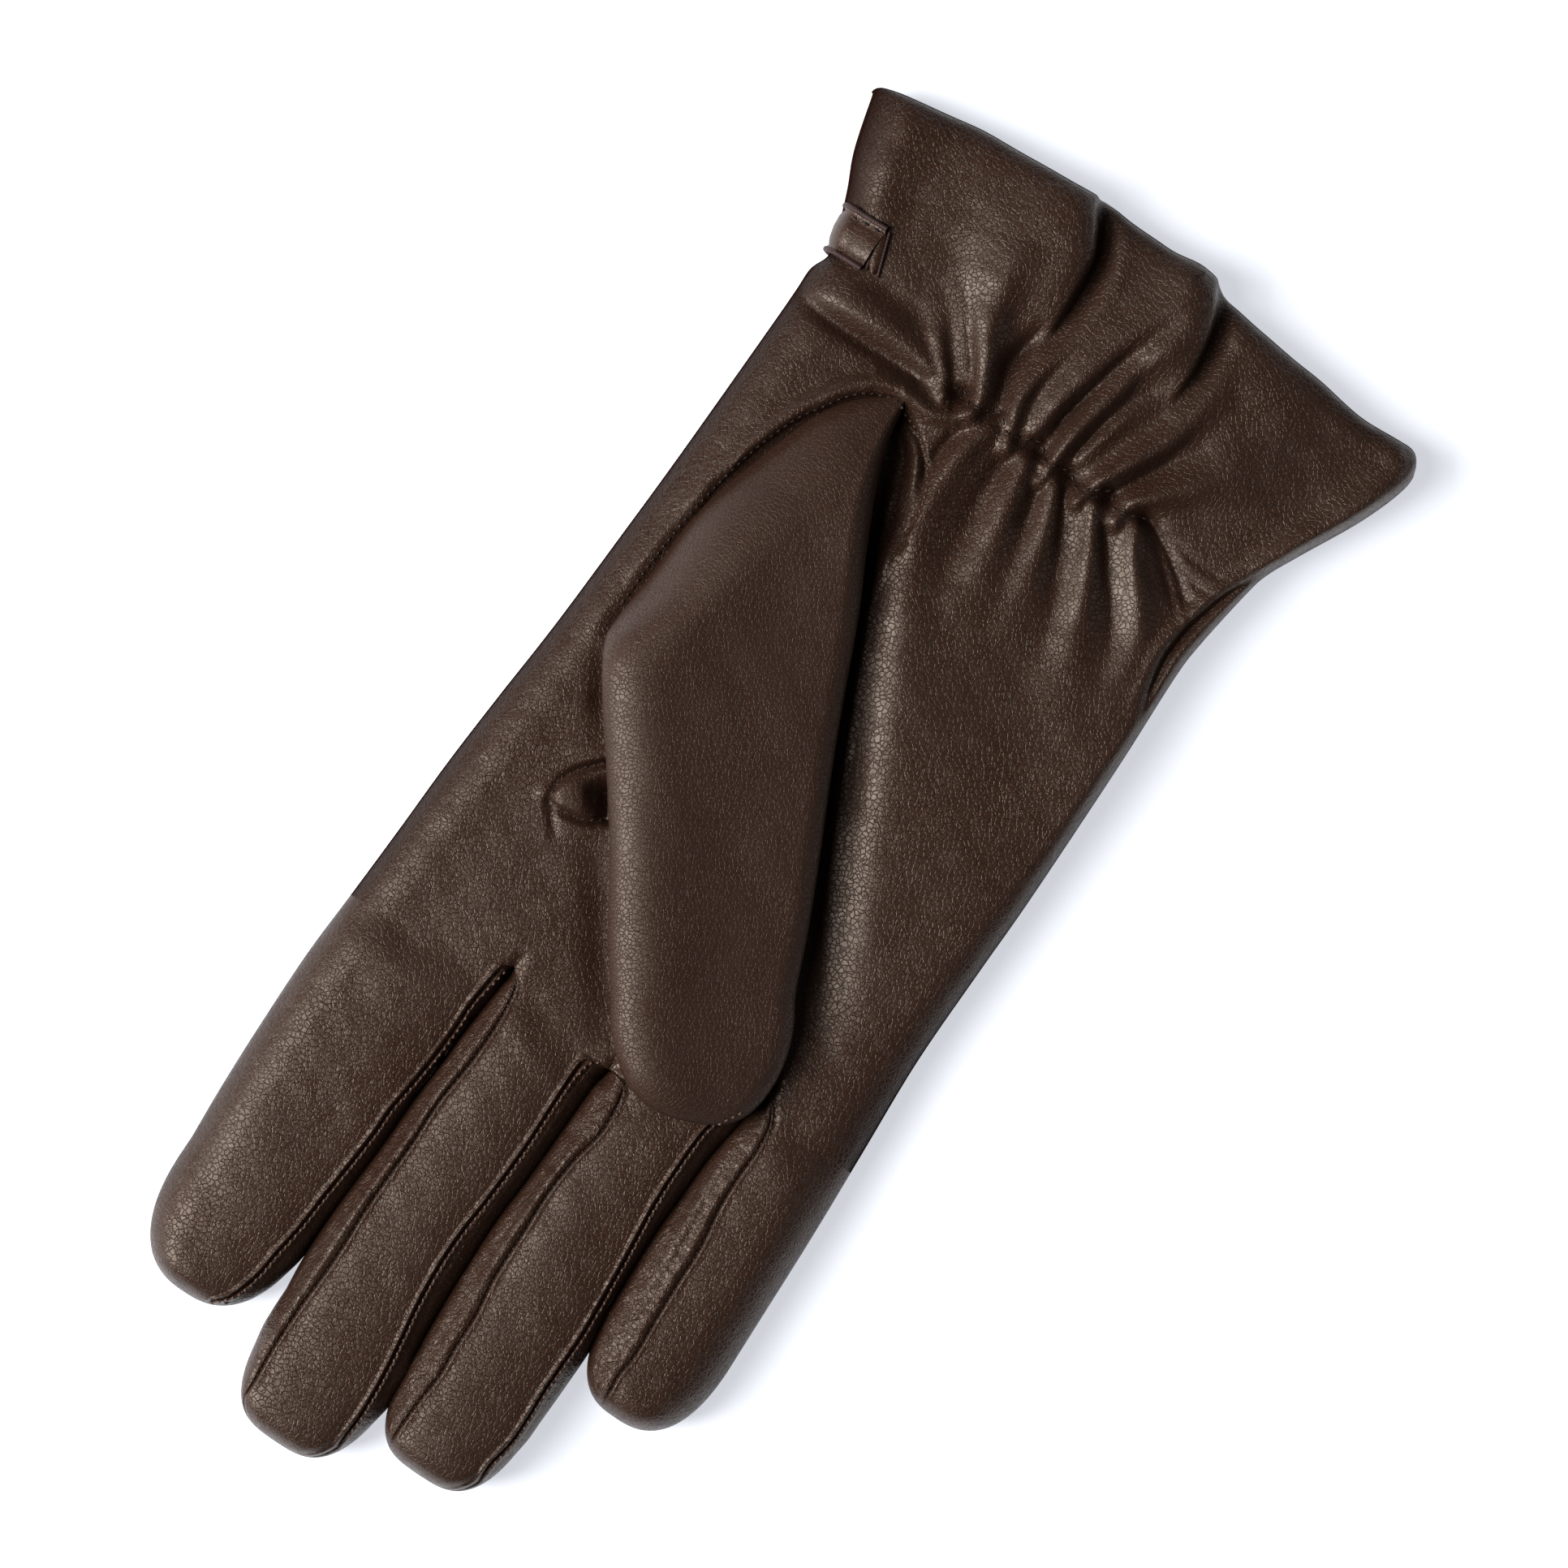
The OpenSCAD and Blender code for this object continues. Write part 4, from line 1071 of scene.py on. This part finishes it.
def thumb_grid():
    """The thumb's closed loop of columns, its count of top columns and the y of its rows."""
    left, right = thumb_outline()
    ys = (left[:, 1] + right[:, 1]) / 2
    row = ys[:, None]
    side = corner(SIDE_STEPS)
    width = np.linalg.norm(left - right, axis=1)[:, None]
    fold_left = np.interp(row, [-47, -30, -12, 2, 10, 90], [20, 19, 16, 13, 12, 11])
    fold_right = np.interp(row, [-47, -30, -10, 90], [3, 3.4, 3.6, 3.8])
    fit = np.minimum(1, 0.86 * width / (fold_left + fold_right)) / np.maximum(width, 1e-6)
    near_right = side * fold_right * fit
    near_left = 1 - side[::-1] * fold_left * fit
    middle = near_right[:, -1:] + (near_left[:, :1] - near_right[:, -1:]) * crowd(THUMB_STEPS)
    share = np.concatenate([near_right[:, :-1], middle, near_left[:, 1:]], axis=1)
    x = right[:, :1] + (left - right)[:, :1] * share
    y = right[:, 1:] + (left - right)[:, 1:] * share
    # the left flank is a plain slope at the root and rounds out towards the tip
    full = 0.45 + 0.55 * ease((row + 8) / 18)
    flank = quarter(side) * full + np.sin(0.5 * math.pi * side) * (1 - full)
    q = np.ones_like(share)
    q[:, :SIDE_STEPS] = quarter(side)[:-1]
    q[:, -SIDE_STEPS:] = flank[:, ::-1][:, 1:]
    end = np.where(row < 60, 1, quarter((ys[-1] - row) / 8.7))
    top_z = 12.6 + 11.9 * np.sin(0.5 * math.pi * np.clip((row + 47.5) / 50, 0, 1)) ** 0.9
    left_z = 11.4 + 7.4 * ease((row + 7) / 18)
    right_z = 11.6 + 4.8 * ease((row + 46) / 34)
    low_z = 12.1 + 1.3 * ease((row + 10) / 16)
    # the two sides stand at different heights; towards the end of the tip they come together
    apart = np.clip(width / 20, 0, 1)
    base = (left_z + right_z) / 2 + (left_z - right_z) * (share - 0.5) * apart
    world_x = BEND_POINT[0] + x * COS_T - y * SIN_T
    world_y = BEND_POINT[1] + x * SIN_T + y * COS_T
    xy = flat_xy(world_x, world_y)
    relief = (0.25 * ripple(xy, 30, 21) + 0.08 * ripple(xy, 11, 22)).reshape(x.shape)
    dish = -0.5 * bell(share - 0.45, 0.3) * ease((row + 20) / 25)
    lean = 5.6 * (1 - share) ** 1.1 * ease((row + 34) / 34)
    z_top = base + ((top_z - lean - base) * q + (relief + dish) * q**2) * end
    z_low = base - (base - low_z) * q * end
    loop = loop_of(np.stack([world_x, world_y, z_top], 2), np.stack([world_x, world_y, z_low], 2))
    return loop, x.shape[1], ys


def add_thumb():
    """The thumb's root on the hand, and its front, back and lining, which bend."""
    loop, top_count, ys = thumb_grid()
    normals = grid_normals(loop)
    root = int(np.searchsorted(ys, THUMB_ROOT_Y))
    panel = make_mesh("thumb_root_panel", loop[: root + 1], normals[: root + 1], THUMB_LEATHER,
                      closed_columns=True)
    settle(panel, ["thumb_root"])
    axis = np.array([-SIN_T, COS_T])
    bend = tuple(in_m((*(BEND_POINT + axis * y), BEND_HEIGHT)) for y in (-13, 20))
    front = loop_columns(loop, 0, top_count - 1)
    back = loop_columns(loop, top_count - 1, loop.shape[1])
    for part, cols in (("front", front), ("back", back)):
        panel = make_mesh("thumb_" + part + "_panel", loop[root:, cols], normals[root:, cols], THUMB_LEATHER)
        settle(panel, ["thumb_" + part], "thumb", bend)
    start = int(np.searchsorted(ys, THUMB_LINING_Y))
    add_lining("thumb_knit_lining", "thumb_lining", loop[start::4, ::3][:-3], normals[start::4, ::3][:-3],
               1.5, THUMB_LINING_HEIGHTS, "thumb", bend)


add_thumb()

# ---------------------------------------------------------------- cuff hem and the hand's lining

LEATHER_THICKNESS = 1.1
HEM_ROLL_STEPS = 6
HEM_ROWS = 34  # how many of the hand's rows the facing runs in


def add_hem():
    """The cuff's turned edge and its facing, as one sheet."""
    edge = hand_loop[0]
    out = edge - hand_loop[10]
    out[:, 2] = 0
    for _ in range(12):
        out = (np.roll(out, 1, axis=0) + 2 * out + np.roll(out, -1, axis=0)) / 4
    out = out / np.linalg.norm(out, axis=1, keepdims=True)
    out = out * ease(np.abs(edge[:, 2:] - 5.3) / 2.5)
    rows = []
    for k in range(HEM_ROLL_STEPS + 1):
        a = math.pi * k / HEM_ROLL_STEPS
        inward = hand_normals[0] * 0.5 * (1 - math.cos(a))
        rows.append(edge + LEATHER_THICKNESS * (out * 0.3 * math.sin(a) - inward))
    rows += [hand_loop[r] - hand_normals[r] * LEATHER_THICKNESS for r in range(1, HEM_ROWS, 2)]
    facing = np.array(rows)
    normals = grid_normals(facing)
    normals[0] = hand_normals[0]
    # painted shade over the rolled edge of the hem
    painted_dark = np.zeros(facing.shape[:2])
    painted_dark[: HEM_ROLL_STEPS + 1] = 0.9
    hem = make_mesh("cuff_turned_hem", facing, normals, MAIN, closed_columns=True, painted_shade=painted_dark)
    settle(hem, ["cuff_facing"])


add_hem()
lining_rows = slice(HEM_ROWS - 4, HAND_ROWS - 12, 5)
add_lining("hand_knit_lining", "hand_lining", hand_loop[lining_rows, ::2], hand_normals[lining_rows, ::2],
           1.75, LINING_HEIGHTS)

# ---------------------------------------------------------------- height lookup and stitches

FOURCHETTE_PANELS = [f"{name}_{part}_panel" for name, parts in FOURCHETTES.items() for part in parts.values()]
FRONT_PANELS = [name + "_front_panel" for name in ("thumb", "index", "middle", "ring", "little")]
NEEDLE_STEP = 0.2
STITCH_SHARES = (-1.0, -0.92, -0.6, 0.0, 0.6, 0.92, 1.0)
STITCH_SIDES = 6


def surface_lookup(names):
    """The upper surfaces of the named pieces, for rays cast from above."""
    verts = []
    faces = []
    for name in names:
        mesh = PIECES[name].data
        shift = len(verts)
        verts.extend(v.co / MM for v in mesh.vertices)
        faces.extend([shift + i for i in face.vertices] for face in mesh.polygons)
    return BVHTree.FromPolygons(verts, faces)


SURFACE = surface_lookup(["palm_trank", "thumb_root_panel"] + FRONT_PANELS + FOURCHETTE_PANELS)


def drop(x, y):
    """The point of the top surface over x and y, and its normal."""
    hit, normal, _, _ = SURFACE.ray_cast(Vector((x, y, 60.0)), Vector((0, 0, -1)))
    return None if hit is None else (hit, normal)


def circle(count):
    """The cosines and sines of evenly spaced angles."""
    angles = math.tau * np.arange(count) / count
    return np.cos(angles), np.sin(angles)


def needle_points(points, pitch):
    """Where stitches stand along a line, and the way it runs there."""
    line = smooth_line(points, 8)
    length = lengths_along(line)

    def at(s):
        return np.array([np.interp(s, length, line[:, i]) for i in (0, 1)])

    for s in np.arange(pitch * 0.5, length[-1], pitch):
        way = at(min(s + NEEDLE_STEP, length[-1])) - at(max(s - NEEDLE_STEP, 0))
        yield at(s), Vector((*way, 0)).normalized()


def add_stitches(name, lines, pitch, length, radius, slant=0.0, lift=0.0, material=THREAD, nodes=(),
                 body="hand", bend=None):
    """Short rounded stitches laid along lines on the surface."""
    verts = []
    faces = []
    for spot, way in (found for points in lines for found in needle_points(points, pitch)):
        found = drop(*spot)
        if found is None:
            continue
        hit, normal = found
        normal = normal if normal.z > 0 else -normal
        way = Matrix.Rotation(slant, 3, "Z") @ way
        way = (way - normal * way.dot(normal)).normalized()
        side = normal.cross(way).normalized()
        first = len(verts)
        for share in STITCH_SHARES:
            r = radius * math.sqrt(max(0.0, 1 - abs(share) ** 3)) + 0.01
            rise = lift + radius * 0.8 * (1 - share * share)
            centre = hit + normal * rise + way * (share * length / 2)
            verts.extend(centre + side * (r * c) + normal * (r * s) for c, s in zip(*circle(STITCH_SIDES)))
        rings = [range(i, i + STITCH_SIDES) for i in range(first, len(verts), STITCH_SIDES)]
        for ring in rings[:-1]:
            for a in ring:
                b = a + 1 if a + 1 in ring else ring[0]
                faces.append((a, b, b + STITCH_SIDES, a + STITCH_SIDES))
        faces.append(tuple(reversed(rings[0])))
        faces.append(tuple(rings[-1]))
    mesh = bpy.data.meshes.new(name)
    mesh.from_pydata([v * MM for v in verts], [], faces)
    mesh.polygons.foreach_set("use_smooth", np.ones(len(mesh.polygons), dtype=bool))
    obj = finish_mesh(name, mesh, material, np.array([tuple(v) for v in verts]))
    settle(obj, nodes, body, bend)


GATHER_STITCHES = [(19.6, -87.4), (15, -88.6), (12.5, -86.8), (8, -89), (4.6, -86.6), (-1, -88.8),
                   (-3.4, -86.2), (-8, -87.4), (-10.8, -85.4), (-16, -88.6), (-18.2, -86), (-24.6, -88.4)]
add_stitches("gather_stitches", [GATHER_STITCHES], 2.0, 1.3, 0.2, nodes=["elastic_stitches"])
add_stitches("arch_stitches", [ARCH_SEAM], 1.5, 0.8, 0.17, slant=0.3)
# these stitches take the paler thread colour, a painted highlight
add_stitches("thumb_hole_stitches", [HOLE_SEAM], 1.3, 0.66, 0.2, slant=0.5, material=PAINTED_LIT_THREAD)
add_stitches("gusset_stitches", [QUIRK_UPPER, QUIRK_LOWER], 1.5, 0.8, 0.14, slant=0.4)
for name, parts in FOURCHETTES.items():
    for key in parts:
        # the low seams face the light, and their stitches get the paler thread colour, a painted highlight
        low = key == "low"
        line = [(x - (0.45 if low else 0), y) for x, y in FINGERS[name][key + "_seam"][1:]]
        add_stitches(name + "_" + key + "_seam_stitches", [line], 1.3, 0.7, 0.21 if low else 0.16, slant=0.3,
                     lift=0.05 if low else -0.03, material=PAINTED_LIT_THREAD if low else THREAD, body=name,
                     bend=finger_bend(name))

# ---------------------------------------------------------------- strap

STRAP_START = 42.0
STRAP_TURN = 3.0  # how far in from the glove's edge the strap starts to turn under
STRAP_UNDER = 0.62  # height of the strap under the back
STRAP_SLANT = 0.17
PAINTED_ROWS = 66
# one cross-section: share of the half width, height above the middle
STRAP_SECTION = [(-1.0, 0.0), (-0.99, 0.35), (-0.93, 0.62), (-0.86, 0.55), (-0.78, 0.34), (-0.5, 0.75),
                 (0, 0.95), (0.5, 0.75), (0.78, 0.34), (0.86, 0.55), (0.93, 0.62), (0.99, 0.35), (1.0, 0.0),
                 (0.9, -0.35), (0.4, -0.42), (-0.4, -0.42), (-0.9, -0.35)]


def strap_path():
    """The strap's x and z, from its end on the palm side round the edge to the back."""
    edge = float(x_at(THUMB_EDGE, STRAP_Y))
    points = [(x, drop(x, STRAP_Y)[0].z + 0.5) for x in np.linspace(STRAP_START, edge - 3.2, 8)]
    mid = (points[-1][1] + STRAP_UNDER) / 2
    half = (points[-1][1] - STRAP_UNDER) / 2
    for a in np.radians(np.linspace(72, -78, 13)):
        points.append((edge - STRAP_TURN + STRAP_TURN * math.cos(a), mid + half * math.sin(a)))
    points += [(x, STRAP_UNDER) for x in np.linspace(edge - 5, 7, 16)]
    return smooth_line(points, 3)


def add_strap():
    """The strap's band and the painted edges along it."""
    path = strap_path()
    tangent = np.gradient(path, axis=0)
    tangent /= np.linalg.norm(tangent, axis=1, keepdims=True)
    normal = np.stack([tangent[:, 1], -tangent[:, 0]], 1)
    normal = normal if normal[2, 1] > 0 else -normal
    lean = STRAP_SLANT * STRAP_W / 2 * ease((path[:, :1] - 43) / 6)

    def around(share, height, y):
        """A grid along the path: columns at shares of the half width, heights over the path and places y."""
        x = path[:, :1] + normal[:, :1] * height + lean * share
        z = path[:, 1:] + normal[:, 1:] * height
        return np.stack([x, np.broadcast_to(y, x.shape), z], 2)

    share, height = np.array(STRAP_SECTION).T
    grid = around(share, height, STRAP_Y - share * STRAP_W / 2)
    grid[..., 2] = np.maximum(grid[..., 2], 0.05)
    band = make_mesh("wrist_strap_band", grid, None, STRAP_LEATHER, closed_columns=True)
    settle(band, ["wrist_strap"])
    cos, sin = circle(8)
    for side, label in ((-1, "fingers"), (1, "cuff")):
        y = STRAP_Y - side * (STRAP_W / 2 - 0.1) + 0.5 * cos
        lip = around(side, 0.5 + 0.5 * sin, y)[:PAINTED_ROWS]
        settle(make_mesh("strap_painted_edge_" + label, lip, None, EDGE, closed_columns=True))


def add_end_tab():
    """The narrow folded strip that the strap's end goes under, with painted edges."""
    first, last = -104.2, -96.6
    ys = np.linspace(first, last, 20)
    xs = 42.6 - 2 * STRAP_SLANT * (ys - first)
    t = (ys - first) / (last - first)

    def bar(name, off, half_width, half_height, rise, sides, material, nodes=()):
        cos, sin = circle(sides)
        zs = np.array([drop(x, y)[0].z for x, y in zip(xs + off, ys)]) + rise
        x = (xs + off)[:, None] + np.reshape(half_width, (-1, 1)) * cos
        grid = np.stack([x, np.broadcast_to(ys[:, None], x.shape), zs[:, None] + half_height * sin], 2)
        settle(make_mesh(name, grid, None, material, closed_columns=True), nodes)

    width = 1.25 * np.sqrt(np.clip(1 - (2 * t - 1) ** 4, 0.02, None))
    bar("strap_loop_end", 0, width, 0.75, 0.15, 12, STRAP_LEATHER, ["strap_end_tab"])
    for off, label in ((-1.15, "inner"), (1.2, "outer")):
        bar("strap_loop_edge_" + label, off, 0.3, 0.4, 0.35, 8, EDGE)


add_strap()
add_end_tab()
add_stitches("strap_edge_stitches", [[(42.4, -103.3), (49.0, -103.3)]], 2.1, 1.3, 0.18, lift=1.0,
             nodes=["strap_stitches"])

# ---------------------------------------------------------------- small pieces


def add_elastic(x0=-27, x1=19, y=-86.5, width=4.6, z=9.6, thick=0.8):
    """The gathering elastic, a flat band that waves a little along the wrist."""
    x = np.linspace(x0, x1, 60)[:, None]
    sag = 0.35 * np.sin(x * 0.9) + 0.2 * np.sin(x * 2.3)
    cos, sin = circle(16)
    across_band = y + 0.5 * width * np.sign(cos) * np.abs(cos) ** 0.4
    height = z + sag + 0.5 * thick * np.sign(sin) * np.abs(sin) ** 0.6
    grid = np.stack([np.broadcast_to(x, height.shape), np.broadcast_to(across_band, height.shape), height], 2)
    settle(make_mesh("gathering_elastic", grid, None, ELASTIC, closed_columns=True),
           ["wrist_elastic"])


def add_crotch_quirk(label, at):
    """A small diamond of leather let into the bottom of a crotch."""
    t = np.linspace(0, 1, 16)[:, None]
    w = np.sin(math.pi * (0.12 + 0.76 * t))
    cos, sin = circle(12)
    x = at[0] + w * cos
    grid = np.stack([x, at[1] - 0.4 + 1.1 * w * sin, np.broadcast_to(1.0 + 10.2 * t, x.shape)], 2)
    piece = make_mesh("crotch_quirk_" + label, grid, None, SIDE_LEATHER, closed_columns=True)
    settle(piece, ["crotch_gusset_" + label])


def add_thumb_quirk():
    """The puffed tongue of a gusset at the foot of the thumb's seam."""
    upper = smooth_line(QUIRK_UPPER)
    lower = smooth_line(QUIRK_LOWER)
    rows = []
    for t in np.arange(25) / 24:
        start = upper[int(t * (len(upper) - 1))]
        end = lower[int(t * (len(lower) - 1))]
        swell = 0.85 * ease(t / 0.3) * (1 - ease((t - 0.4) / 0.5))
        row = []
        for s in np.arange(19) / 18:
            x, y = start + (end - start) * s
            ground = drop(x, y)
            # next to the thumb the ray meets the thumb, and the tongue stays below it
            z = min(ground[0].z, 13.4) if ground is not None and ground[0].z < 16 else 11.5
            row.append((x, y, z - 0.08 + swell * quarter(2 * min(s, 1 - s))))
        rows.append(row)
    piece = make_mesh("thumb_quirk_gusset", np.array(rows), None, THUMB_LEATHER, flip=True)
    settle(piece, ["thumb_gusset"])


add_elastic()
for label, at in (("index", CROTCH_1), ("middle", CROTCH_2), ("ring", CROTCH_3)):
    add_crotch_quirk(label, at)
add_thumb_quirk()

# ---------------------------------------------------------------- floor, light, camera

FLOOR_HALF = 4  # metres
CAMERA_TURN = math.radians(34)
CAMERA_AT = (0.0029, -0.0141, 1.039)


def add_floor():
    h = FLOOR_HALF
    mesh = bpy.data.meshes.new("floor")
    mesh.from_pydata([(-h, -h, 0), (h, -h, 0), (h, h, 0), (-h, h, 0)], [], [(0, 1, 2, 3)])
    floor = bpy.data.objects.new("floor", mesh)
    bpy.context.scene.collection.objects.link(floor)
    white = Nodes("white_floor")
    white.look(Base_Color=(0.86, 0.88, 0.92), Roughness=0.9, Specular_IOR_Level=0.1,
               Emission_Color=(0.90, 0.93, 1.0), Emission_Strength=0.65)
    mesh.materials.append(white.material)


def add_world():
    world = bpy.data.worlds.new("white_room")
    bpy.context.scene.world = world
    world.use_nodes = True
    sky = world.node_tree.nodes["Background"]
    sky.inputs["Color"].default_value = (0.95, 0.97, 1.0, 1)
    sky.inputs["Strength"].default_value = 0.03


def add_light(name, at, size, power):
    """A rectangular light that faces the glove."""
    lamp = bpy.data.lights.new(name, "AREA")
    lamp.shape = "RECTANGLE"
    lamp.size, lamp.size_y = size
    lamp.energy = power
    obj = bpy.data.objects.new(name, lamp)
    obj.location = at
    obj.rotation_mode = "QUATERNION"
    obj.rotation_quaternion = (-Vector(at)).to_track_quat("-Z", "Y")
    bpy.context.scene.collection.objects.link(obj)


def add_camera():
    """Straight above the glove, turned so that the fingers point down to the left."""
    data = bpy.data.cameras.new("camera")
    data.lens = 135
    data.sensor_width = 36
    camera = bpy.data.objects.new("camera", data)
    bpy.context.scene.collection.objects.link(camera)
    turn = Matrix.Rotation(math.pi + CAMERA_TURN, 4, "Z")
    camera.matrix_world = Matrix.Translation(CAMERA_AT) @ turn
    bpy.context.scene.camera = camera


add_floor()
add_world()
add_light("key", (0.90, 0.61, 0.85), (0.8, 0.8), 20)
add_light("upper", (0.62, 0.42, 1.35), (0.6, 0.6), 7.2)
add_light("rim", (-1.0, -0.66, 0.40), (0.3, 0.9), 0.6)
add_camera()
bpy.context.scene.view_settings.view_transform = "Standard"
